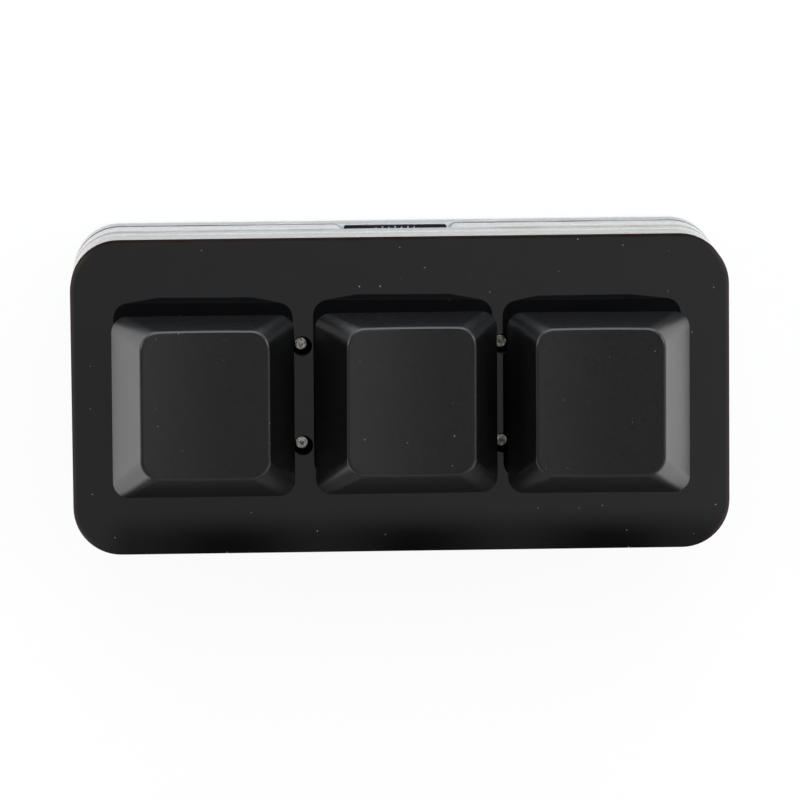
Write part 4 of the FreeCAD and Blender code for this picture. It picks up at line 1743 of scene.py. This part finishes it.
@dataclass
class KeySwitch:
    """A key switch: lower housing with its flange, and tapering upper housing with clips."""

    palette: Palette
    base_size: float = 13.9
    base_wall: float = 1.2
    base_drop: float = 5.0
    edge: float = 0.12
    flange: float = 15.6
    flange_height: float = 1.0
    flange_corner: float = 0.7
    floor: float = -3.6
    weld: float = 0.6
    pole_radius: float = 2.0
    pole_length: float = 3.2
    pole_edge: float = 0.3
    tube_radius: float = 1.7
    tube_height: float = 2.6
    tube_sides: int = 40
    bore_radius: float = 1.05
    bore_depth: float = 7.0
    bore_length: float = 8.0
    top_x: float = 11.4
    top_y: float = 10.4
    top_corner: float = 1.3
    top_edge: float = 0.4
    cover_wall: float = 1.0
    cover_taper: float = 1.6
    stem_x: float = 7.3
    stem_y: float = 5.9
    window_half: float = 1.7
    window_depth: float = 3.0
    window_lift: float = 1.4
    window_drop: float = 1.2
    pins: tuple[Place, ...] = ((2.54, 5.08), (-3.81, 4.3))
    slot_x: float = 1.1
    slot_y: float = 0.4
    clip_y: float = 3.6
    clip_half: float = 1.1
    clip_height: float = 2.6
    clip_sunk: float = 0.05
    clip_out: float = 0.35
    clip_in: float = 1.3
    clip_slope: float = 0.55
    clip_edge: float = 0.1

    def lower_housing(self, x: float, level: float) -> Piece:
        """Makes the housing that sits in the plate.

        Args:
            x: The key's middle.
            level: The plate's upper face.

        Returns:
            The housing.
        """
        half = self.base_size / 2
        foot = level - self.base_drop
        piece = add_box("switch_housing", (x - half, -half, foot), (x + half, half, level))
        grow = self.flange / self.base_size
        room = (self.flange - self.base_size) / 2 + self.base_wall
        with editing(piece):
            choose_faces(looks_up)
            extrude((0, 0, 0))
            resize((grow, grow, 1), (x, 0, level))
            extrude((0, 0, self.flange_height))
            inset(room)
            extrude((0, 0, self.floor - self.flange_height))

        def flange_corner(centre: Vector, way: Vector, fold: float) -> bool:
            """Says whether an edge is an outer corner of the flange."""
            return upright(centre, way, fold) and abs(centre.y) > half + NEAR

        round_edges(piece, self.flange_corner, flange_corner, segments=5)
        soften(piece, self.edge)
        self.add_pole(piece, x, level)
        bottom = level + self.floor
        for pin_x, pin_y in self.pins:
            low = (x + pin_x - self.slot_x / 2, pin_y - self.slot_y / 2, foot - OVERCUT)
            high = (x + pin_x + self.slot_x / 2, pin_y + self.slot_y / 2, bottom + OVERCUT)
            merge(piece, add_box("pin_slot", low, high))
        return piece

    def add_pole(self, piece: Piece, x: float, level: float) -> None:
        """Adds the pole under the housing and the spring's tube in it, with one bore.

        Args:
            piece: The lower housing.
            x: The key's middle.
            level: The plate's upper face.
        """
        foot, bottom = level - self.base_drop, level + self.floor
        pole = add_rod(
            "pole", self.pole_radius, (x, 0, foot - self.pole_length),
            self.pole_length + self.weld, self.tube_sides,
        )
        round_edges(pole, self.pole_edge, around_foot(foot - self.pole_length), segments=3)
        tube = add_rod(
            "tube", self.tube_radius, (x, 0, bottom - self.weld), self.tube_height + self.weld,
            self.tube_sides,
        )
        merge(piece, pole, tube, step=Step.JOIN)
        bore_foot = (x, 0, level - self.bore_depth)
        merge(piece, add_rod("bore", self.bore_radius, bore_foot, self.bore_length))

    def upper_housing(self, x: float) -> Piece:
        """Makes the housing that the stem comes out of.

        Args:
            x: The key's middle.

        Returns:
            The housing.
        """
        low, high = corners("switch_cover_left")
        piece = add_box("switch_top", low, high)
        size = high.x - low.x
        with editing(piece):
            choose_faces(looks_up)
            resize((self.top_x / size, self.top_y / size, 1), (x, 0, high.z))

        def on_side(centre: Vector, way: Vector, fold: float) -> bool:
            """Says whether an edge is a leaning corner of the side."""
            return abs(way.z) > 0.5

        def on_top(centre: Vector, way: Vector, fold: float) -> bool:
            """Says whether an edge is on the upper rim."""
            return fold > CORNER and centre.z > high.z - NEAR

        round_edges(piece, self.top_corner, on_side, segments=5)
        round_edges(piece, self.top_edge, on_top, segments=3)
        inner = size - 2 * self.base_wall
        roof_x = (self.top_x - self.cover_taper * self.cover_wall) / inner
        roof_y = (self.top_y - self.cover_taper * self.cover_wall) / inner
        roof = high.z - self.cover_wall
        with editing(piece):
            choose_faces(looks_down)
            inset(self.base_wall)
            extrude((0, 0, roof - low.z))
            resize((roof_x, roof_y, 1), (x, 0, roof))
        opening = add_box(
            "opening", (x - self.stem_x / 2, -self.stem_y / 2, roof - OVERCUT),
            (x + self.stem_x / 2, self.stem_y / 2, high.z + OVERCUT),
        )
        front = -size / 2
        window = add_box(
            "window", (x - self.window_half, front - OVERCUT, low.z + self.window_lift),
            (x + self.window_half, front + self.window_depth, high.z - self.window_drop),
        )
        merge(piece, opening, window)
        return piece

    def clips(self, x: float, level: float) -> Piece:
        """Makes the four clips that hold the two housings together.

        Args:
            x: The key's middle.
            level: The plate's upper face.

        Returns:
            The clips.
        """
        seat = level + self.flange_height
        clips = []
        for side_x in (-1, 1):
            for y in (-self.clip_y, self.clip_y):
                outer = x + side_x * (self.base_size / 2 + self.clip_out)
                inner = x + side_x * (self.base_size / 2 - self.clip_in)
                low = (min(outer, inner), y - self.clip_half, seat - self.clip_sunk)
                high = (max(outer, inner), y + self.clip_half, seat + self.clip_height)
                clip = add_box("switch_clips", low, high)
                with editing(clip):
                    choose_faces(looks_up)
                    shift((-side_x * self.clip_slope, 0, 0))
                clips.append(clip)
        piece = gather(*clips)
        soften(piece, self.clip_edge)
        return piece

    def build(self) -> None:
        """Makes one switch and its copies, and dresses the inner nodes."""
        x = Side.LEFT.x
        level = corners("top_plate")[1].z
        parts = {
            "switch_housing": (self.lower_housing(x, level), ["switch_base"]),
            "switch_top": (self.upper_housing(x), ["switch_cover"]),
            "switch_clips": (self.clips(x, level), []),
        }
        for name, (first, kinds) in parts.items():
            for side, piece in copy_to_keys(first, name).items():
                nodes = [side.node(kind) for kind in kinds]
                finish_piece(piece, self.palette.housing, replaces=nodes)
        for side in Side:
            dress_node(side.node("switch_stem"), self.palette.stem)
            dress_node(side.node("fixed_contact"), self.palette.copper)
            dress_node(side.node("moving_contact"), self.palette.copper)


@dataclass
class CoilSpring:
    """A switch's coil spring."""

    palette: Palette
    radius: float = 2.1
    wire: float = 0.15
    wire_sides: int = 8
    turns: int = 9
    turn_steps: int = 32
    travel: float = 4.0
    smooth_angle: float = 60

    def build(self) -> None:
        """Makes one spring and its copies."""
        low, high = corners("switch_spring_left")
        length = high.z - low.z
        pitch = (length - 2 * self.wire) / self.turns
        start = Vector((Side.LEFT.x, 0, low.z + self.wire))
        coil = wind_coil(
            "spring_coil", self.radius, self.wire, self.wire_sides, pitch, self.turns,
            self.turn_steps, start,
        )
        for side, piece in copy_to_keys(coil, "spring_coil").items():
            finish_piece(
                piece, self.palette.spring,
                replaces=[side.node("switch_spring")], angle=self.smooth_angle,
            )
            anchor = (side.x * MM, 0, low.z * MM)
            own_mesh(piece)


# The electronics


@dataclass
class Socket:
    """The cable socket: a drawn steel shell around a tongue with gold contacts."""

    palette: Palette
    wall: float = 0.3
    rounding: float = 1.5
    mouth_edge: float = 0.1
    lip_half: float = 5.26
    lip_depth: float = 0.33
    lip_thick: float = 0.68
    lip_setback: float = 0.16
    lip_drop: float = 0.02
    lip_corner: float = 0.3
    lip_edge: float = 0.04
    tab_half: float = 2.2
    tab_depth: float = 0.14
    tab_overlap: float = 0.1
    joint_radius: float = 0.13
    joint_small: float = 0.8
    joint_tip: float = 0.4
    joint_height: float = 0.22
    joint_sunk: float = 0.05
    joint_edge: float = 0.03
    joint_sides: int = 16
    joint_pitch: float = 0.65
    joint_count: int = 7

    def build_lip(self, outer: float, top: float) -> None:
        """Makes the black lip under the socket's mouth, deeper in its middle.

        Args:
            outer: How far back it reaches.
            top: Its upper face.
        """
        inner, low = outer - self.lip_depth, top - self.lip_thick
        lip = add_box("socket_lip", (-self.lip_half, inner, low), (self.lip_half, outer, top))

        def outer_corner(centre: Vector, way: Vector, fold: float) -> bool:
            """Says whether an edge is one of the lip's upright outer corners."""
            return abs(way.z) > ALONG and centre.y > outer - NEAR

        round_edges(lip, self.lip_corner, outer_corner, segments=4)
        tab = add_box(
            "tab", (-self.tab_half, inner - self.tab_depth, low),
            (self.tab_half, inner + self.tab_overlap, top),
        )
        merge(lip, tab, step=Step.JOIN)
        soften(lip, self.lip_edge, segments=1)
        finish_piece(lip, self.palette.lip)

    def build_joints(self, inner: float, top: float) -> None:
        """Makes the row of solder joints on the lip, larger and smaller in turn.

        Args:
            inner: The lip's inner side.
            top: Its upper face.
        """
        joints = []
        for index in range(self.joint_count):
            x = (index - (self.joint_count - 1) / 2) * self.joint_pitch
            radius = self.joint_radius * (1.0 if index % 2 else self.joint_small)
            joint = add_rod(
                "socket_joints", radius, (x, inner + radius, top - self.joint_sunk),
                self.joint_height, self.joint_sides, tip=self.joint_tip * radius,
            )
            round_edges(
                joint, self.joint_edge,
                lambda centre, way, fold: fold > CORNER and centre.z > top, segments=2,
            )
            joints.append(joint)
        finish_piece(gather(*joints), self.palette.tin)

    def build(self) -> None:
        """Makes the lip and the shell, and dresses what is in it."""
        low, high = corners("port_shell")
        outer = corners("middle_frame")[1].y - self.lip_setback
        top = low.z - self.lip_drop
        self.build_lip(outer, top)
        self.build_joints(outer - self.lip_depth, top)
        shell = add_box("socket_shell", low, high)

        def along_shell(centre: Vector, way: Vector, fold: float) -> bool:
            """Says whether an edge runs from the mouth to the back."""
            return abs(way.y) > ALONG

        def at_mouth(centre: Vector, way: Vector, fold: float) -> bool:
            """Says whether an edge is on the mouth's rim."""
            return fold > SHARP and centre.y > high.y - NEAR

        round_edges(shell, self.rounding, along_shell, segments=8)
        with editing(shell):
            choose_faces(lambda centre, normal: normal.y > FACING)
            inset(self.wall)
            extrude((0, self.wall - (high.y - low.y), 0))
        round_edges(shell, self.mouth_edge, at_mouth, segments=2)
        finish_piece(shell, self.palette.socket, replaces=["port_shell"])
        dress_node("port_tongue", self.palette.housing)
        dress_node("port_contacts", self.palette.gold)


@dataclass
class Electronics:
    """The two boards with the chip, the crystal, the small parts and the pins between them."""

    palette: Palette
    chip_taper: tuple[float, float] = (0.975, 0.93)
    chip_edge: float = 0.08
    dimple_radius: float = 0.45
    dimple_place: tuple[float, float] = (1.1, 1.0)
    dimple_depth: float = 0.08
    dimple_sides: int = 24
    lead_count: int = 8
    lead_pitch: float = 1.27
    lead_width: float = 0.4
    lead_thick: float = 0.18
    lead_toe: float = 0.45
    lead_slope: tuple[float, float] = (0.2, 0.5)
    lead_shoulder: float = 0.45
    lead_edge: float = 0.03
    can_corner: float = 0.4
    can_rim: float = 0.25
    can_step: float = 0.12
    can_edge: float = 0.05

    def build_chip(self) -> None:
        """Makes the chip with tapered sides and a dimple beside its first lead."""
        low, high = corners("controller_chip")
        chip = add_box("controller_chip_body", low, high)
        middle = (low + high) / 2
        with editing(chip):
            choose_faces(looks_down)
            resize((*self.chip_taper, 1), (middle.x, middle.y, low.z))
        soften(chip, self.chip_edge)
        place_x, place_y = self.dimple_place
        dimple = add_rod(
            "dimple", self.dimple_radius, (low.x + place_x, low.y + place_y, low.z - OVERCUT),
            OVERCUT + self.dimple_depth, self.dimple_sides,
        )
        merge(chip, dimple)
        finish_piece(chip, self.palette.resin, replaces=["controller_chip"])

    def build_leads(self) -> None:
        """Makes one bent lead and its copies along both sides of the chip."""
        low, high = corners("chip_leads")
        middle = (low + high) / 2
        start = middle.x - (self.lead_count - 1) / 2 * self.lead_pitch
        half, foot = self.lead_width / 2, high.z
        lead = add_box(
            "chip_lead", (start - half, high.y - self.lead_toe, foot - self.lead_thick),
            (start + half, high.y, foot),
        )
        run, rise = self.lead_slope
        with editing(lead):
            choose_faces(lambda centre, normal: normal.y < -FACING)
            extrude((0, -run, -rise))
            extrude((0, -self.lead_shoulder, 0))
        soften(lead, self.lead_edge, segments=1, angle=CORNER)
        row = [lead] + [
            twin(lead, f"chip_lead_{index}", (index * self.lead_pitch, 0, 0))
            for index in range(1, self.lead_count)
        ]
        near = gather(*row)
        far = twin(near, "chip_leads_far", (0, 0, 0))
        with editing(far):
            bpy.ops.mesh.select_all(action="SELECT")
            bpy.ops.transform.rotate(
                value=math.pi, orient_axis="Z", center_override=(middle.x, middle.y, 0),
            )
        leads = gather(near, far)
        leads.name = "chip_leads_bent"
        finish_piece(leads, self.palette.tin, replaces=["chip_leads"])

    def build_crystal(self) -> None:
        """Makes the crystal's can with its seam ring."""
        low, high = corners("crystal")
        can = add_box("crystal_can", low, high)
        round_edges(can, self.can_corner, upright, segments=4)
        with editing(can):
            choose_faces(looks_down)
            inset(self.can_rim)
            extrude((0, 0, self.can_step))
        soften(can, self.can_edge, segments=1)
        finish_piece(can, self.palette.socket, replaces=["crystal"])

    def build(self) -> None:
        """Builds the detailed parts and dresses the rest."""
        self.build_chip()
        self.build_leads()
        self.build_crystal()
        Socket(self.palette).build()
        for node in ("switch_board", "controller_board"):
            dress_node(node, self.palette.board)
        dress_node("link_strip", self.palette.housing)
        dress_node("link_pins", self.palette.gold)
        dress_node("capacitors", self.palette.ceramic)
        dress_node("resistors", self.palette.resin)
        dress_node("diodes", self.palette.resin)


# The studio


@dataclass(frozen=True)
class Lamp:
    """A square soft lamp that looks at the keypad."""

    name: str
    place: Triple
    size: float
    watts: float

    def build(self) -> None:
        """Adds the lamp to the scene."""
        light = bpy.data.lights.new(self.name, "AREA")
        light.shape = "SQUARE"
        light.size = self.size
        light.energy = self.watts
        holder = bpy.data.objects.new(self.name, light)
        holder.location = self.place
        holder.rotation_euler = Vector(self.place).to_track_quat("Z", "Y").to_euler()
        bpy.context.collection.objects.link(holder)


@dataclass(frozen=True)
class Sky:
    """The light around the keypad, as a brightness for each direction X, Y, Z.

    It grows to the right, is dimmer in front and has a large bright panel behind. Dark fields lie
    where the plate's front strip mirrors the room, and one where the camera is.
    """

    plain: float = 0.445
    growth_x: float = -0.05
    growth: float = 1.05
    most: float = 0.95
    front_y: tuple[float, float] = (-0.235, -0.175)
    front_share: float = 0.46
    low_front_y: tuple[float, float] = (-0.34, -0.46)
    low_front_extra: float = 0.30
    back_y: tuple[float, float] = (0.30, 0.62)
    back_x: tuple[float, float] = (0.55, 0.30)
    back_extra: float = 2.8
    horizon: float = 0.95
    horizon_z: tuple[float, float] = (0.30, 0.08)
    field_x: float = 0.0305
    field_pitch: float = 0.0305
    field_reach: tuple[float, float] = (0.052, 0.046)
    field_y: tuple[float, float] = (-0.1520, -0.1572)
    field_end_y: tuple[float, float] = (-0.195, -0.175)
    field_depth: float = 0.80
    field_swing: float = 0.17
    spot: float = 0.05
    spot_reach: tuple[float, float] = (0.972, 0.982)
    cool: Colour = (0.93, 1.0, 1.10)
    warm: Colour = (1.03, 1.0, 0.95)
    tint_reach: float = 0.45

    def brightness(
        self, nodes: Nodes, way: NodeEnd, camera: Vector,
    ) -> NodeEnd:
        """Lays out the brightness.

        Args:
            nodes: The world's nodes.
            way: The direction.
            camera: The place of the camera.

        Returns:
            The brightness.
        """
        axes = nodes.split(way)
        past_plain = nodes.maths(
            "MAXIMUM", nodes.maths("SUBTRACT", axes["X"], self.growth_x), 0.0,
        )
        grown = nodes.maths("ADD", nodes.maths("MULTIPLY", past_plain, self.growth), self.plain)
        front = nodes.remap(axes["Y"], *self.front_y, self.front_share, 1.0, smooth=True)
        low_front = nodes.remap(axes["Y"], *self.low_front_y, 0.0, self.low_front_extra, smooth=True)
        level = nodes.maths("ADD", front, low_front)
        even = nodes.maths("MULTIPLY", nodes.maths("MINIMUM", grown, self.most), level)
        behind = nodes.maths(
            "MULTIPLY", nodes.remap(axes["Y"], *self.back_y, smooth=True),
            nodes.remap(nodes.maths("ABSOLUTE", axes["X"], 0.0), *self.back_x, smooth=True),
        )
        lifted = nodes.maths("ADD", even, nodes.maths("MULTIPLY", behind, self.back_extra))

        off_field = nodes.maths("SUBTRACT", axes["X"], self.field_x)
        wave = nodes.maths(
            "COSINE", nodes.maths("MULTIPLY", off_field, math.tau / self.field_pitch), 0.0,
        )
        depth = nodes.maths("ADD", nodes.maths("MULTIPLY", wave, self.field_swing), self.field_depth)
        inside = nodes.remap(
            nodes.maths("ABSOLUTE", off_field, 0.0), *self.field_reach, smooth=True,
        )
        low = nodes.maths(
            "MULTIPLY", nodes.remap(axes["Y"], *self.field_y, smooth=True),
            nodes.remap(axes["Y"], *self.field_end_y, smooth=True),
        )
        dark = nodes.maths("MULTIPLY", depth, nodes.maths("MULTIPLY", inside, low))
        dimmed = nodes.maths("MULTIPLY", lifted, nodes.remap(dark, 0.0, 1.0, 1.0, 0.0))

        towards = nodes.add("ShaderNodeVectorMath", operation="DOT_PRODUCT")
        towards.inputs[1].default_value = camera.normalized()
        nodes.join(way, towards.inputs[0])
        spot = nodes.remap(towards.outputs["Value"], *self.spot_reach, 1.0, self.spot, smooth=True)
        near_rim = nodes.remap(axes["Z"], *self.horizon_z, smooth=True)
        sky = nodes.maths("MULTIPLY", dimmed, spot)
        lack = nodes.remap(sky, 0.0, self.horizon, self.horizon, 0.0)
        return nodes.maths("ADD", sky, nodes.maths("MULTIPLY", lack, near_rim))

    def colour(self, nodes: Nodes, way: NodeEnd) -> NodeEnd:
        """Lays out the tint, cool behind the keypad and warm before it."""
        share = nodes.remap(nodes.split(way)["Y"], self.tint_reach, -self.tint_reach)
        return nodes.blend(share, self.cool, self.warm)


@dataclass
class Studio:
    """The pale floor, the light and the camera."""

    floor_size: float = 6.0
    floor_colour: Colour = (0.92, 0.92, 0.92)
    floor_glow: float = 0.92
    # Where the floor in front of the keypad turns black in reflected rays only: painted shade
    mirror_shade_y: tuple[float, float] = (-0.0155, -0.0185)
    mirror_shade_x: tuple[float, float] = (0.034, 0.022)
    mirror_shade_spread: float = 0.35
    mirror_shade_depth: float = 0.85
    shade_start: float = -0.0003
    shade_end: float = 0.00005
    sky: Sky = Sky()
    lamps: tuple[Lamp, ...] = (
        Lamp("lamp_left", (-0.9, 0.25, 0.8), 0.5, 3.4),
        Lamp("lamp_right", (0.9, 0.25, 0.8), 0.5, 3.4),
    )
    camera_place: Triple = (-0.017315, 0.083247, 0.634135)
    camera_turn: Triple = (-0.13519, -0.02931, -0.00926)
    camera_lens: float = 278.78
    camera_sensor: float = 36.0

    @staticmethod
    def seen(nodes: Nodes, *kinds: str) -> NodeEnd:
        """Says whether a surface is seen rather than lighting something.

        Args:
            nodes: The nodes that the test is added to.
            kinds: The kinds of ray that count as seeing.

        Returns:
            1 for such a ray and 0 for others.
        """
        path = nodes.add("ShaderNodeLightPath")
        total = path.outputs[kinds[0]]
        for kind in kinds[1:]:
            total = nodes.maths("MAXIMUM", total, path.outputs[kind])
        return total

    def painted_mirror_shade_share(self, nodes: Nodes, place: NodeEnd) -> NodeEnd:
        """Says where the floor in front of the keypad shows black in reflected rays: painted shade
        in what the keys' front slopes and the plate's front edge mirror.

        Args:
            nodes: The nodes of the floor's material.
            place: The point on the floor.

        Returns:
            How much of the floor is hidden from a reflected ray.
        """
        axes = nodes.split(place)
        along = nodes.maths("MULTIPLY", axes["Y"], self.mirror_shade_spread)
        side = nodes.maths("ADD", nodes.maths("ABSOLUTE", axes["X"], 0.0), along)
        near = nodes.maths(
            "MULTIPLY", nodes.remap(axes["Y"], *self.mirror_shade_y, smooth=True),
            nodes.remap(side, *self.mirror_shade_x, smooth=True),
        )
        mirrored = nodes.maths("MULTIPLY", self.seen(nodes, "Is Glossy Ray"), self.mirror_shade_depth)
        return nodes.maths("MULTIPLY", near, mirrored)

    def build_floor(self) -> None:
        """Lays a plain pale floor that looks white and keeps the keypad's shadow.

        It can't be seen from below, so that the keypad's underside can.
        """
        bpy.ops.object.select_all(action="DESELECT")
        bpy.ops.mesh.primitive_plane_add(size=self.floor_size, location=(0, 0, 0))
        floor = bpy.context.active_object
        floor.name = "studio_floor"
        material = bpy.data.materials.new("pale_floor")
        material.use_nodes = True
        nodes = Nodes(material.node_tree)
        nodes.tree.nodes.remove(nodes.tree.nodes["Principled BSDF"])
        paint = nodes.add("ShaderNodeBsdfDiffuse")
        paint.inputs["Color"].default_value = (*self.floor_colour, 1)
        glow = nodes.add("ShaderNodeEmission")
        place = nodes.add("ShaderNodeTexCoord").outputs["Object"]
        past = nodes.past_outline(place, [half * MM for half in OUTLINE_HALF], OUTLINE_CORNER * MM)
        outside = nodes.remap(past, self.shade_start, self.shade_end, 0.0, self.floor_glow)
        seen = self.seen(nodes, "Is Camera Ray", "Is Glossy Ray", "Is Transmission Ray")
        mix = nodes.add("ShaderNodeMixShader")
        nodes.join(nodes.maths("MULTIPLY", seen, outside), mix.inputs[0])
        nodes.join(paint.outputs[0], mix.inputs[1])
        nodes.join(glow.outputs[0], mix.inputs[2])
        # Painted shade: black in place of the floor just in front of the keypad, for reflected rays
        # only
        mirror_shade = nodes.add("ShaderNodeEmission")
        mirror_shade.inputs["Strength"].default_value = 0.0
        mirror_shaded = nodes.add("ShaderNodeMixShader")
        nodes.join(self.painted_mirror_shade_share(nodes, place), mirror_shaded.inputs[0])
        nodes.join(mix.outputs[0], mirror_shaded.inputs[1])
        nodes.join(mirror_shade.outputs[0], mirror_shaded.inputs[2])
        clear = nodes.add("ShaderNodeBsdfTransparent")
        shown = nodes.add("ShaderNodeMixShader")
        nodes.join(nodes.add("ShaderNodeNewGeometry").outputs["Backfacing"], shown.inputs[0])
        nodes.join(mirror_shaded.outputs[0], shown.inputs[1])
        nodes.join(clear.outputs[0], shown.inputs[2])
        nodes.join(shown.outputs[0], nodes.tree.nodes["Material Output"].inputs["Surface"])
        floor.data.materials.append(material)

    def build_world(self) -> None:
        """Makes the sky, white where the camera sees it."""
        world = bpy.data.worlds.new("studio_sky")
        bpy.context.scene.world = world
        world.use_nodes = True
        nodes = Nodes(world.node_tree)
        background = nodes.tree.nodes["Background"]
        way = nodes.add("ShaderNodeTexCoord").outputs["Generated"]
        strength = self.sky.brightness(nodes, way, Vector(self.camera_place))
        shown = self.seen(nodes, "Is Camera Ray")
        hidden = nodes.remap(shown, 0.0, 1.0, 1.0, 0.0)
        total = nodes.maths("ADD", nodes.maths("MULTIPLY", strength, hidden), shown)
        nodes.join(total, background.inputs["Strength"])
        nodes.join(
            nodes.blend(shown, self.sky.colour(nodes, way), (1.0, 1.0, 1.0)),
            background.inputs["Color"],
        )

    def build_camera(self) -> None:
        """Puts the camera where the photograph was taken."""
        data = bpy.data.cameras.new("camera")
        data.lens = self.camera_lens
        data.sensor_width = self.camera_sensor
        camera = bpy.data.objects.new("camera", data)
        camera.location = self.camera_place
        camera.rotation_euler = self.camera_turn
        bpy.context.collection.objects.link(camera)
        bpy.context.scene.camera = camera

    def build(self) -> None:
        """Builds the studio."""
        self.build_floor()
        self.build_world()
        for lamp in self.lamps:
            lamp.build()
        self.build_camera()
        bpy.context.scene.view_settings.view_transform = "Standard"


def main() -> None:
    """Builds the keypad piece by piece, and the studio around it."""
    palette = Palette()
    case = LayeredCase(palette)
    screw_places = case.screw_places()
    case.build()
    Spacers(palette, screw_places, case.clear_radius).build()
    RubberFeet(palette).build()
    MachineScrews(palette, screw_places).build()
    KeyCap(palette).build()
    KeySwitch(palette).build()
    CoilSpring(palette).build()
    Electronics(palette).build()
    Studio().build()


if __name__ == "__main__":
    main()
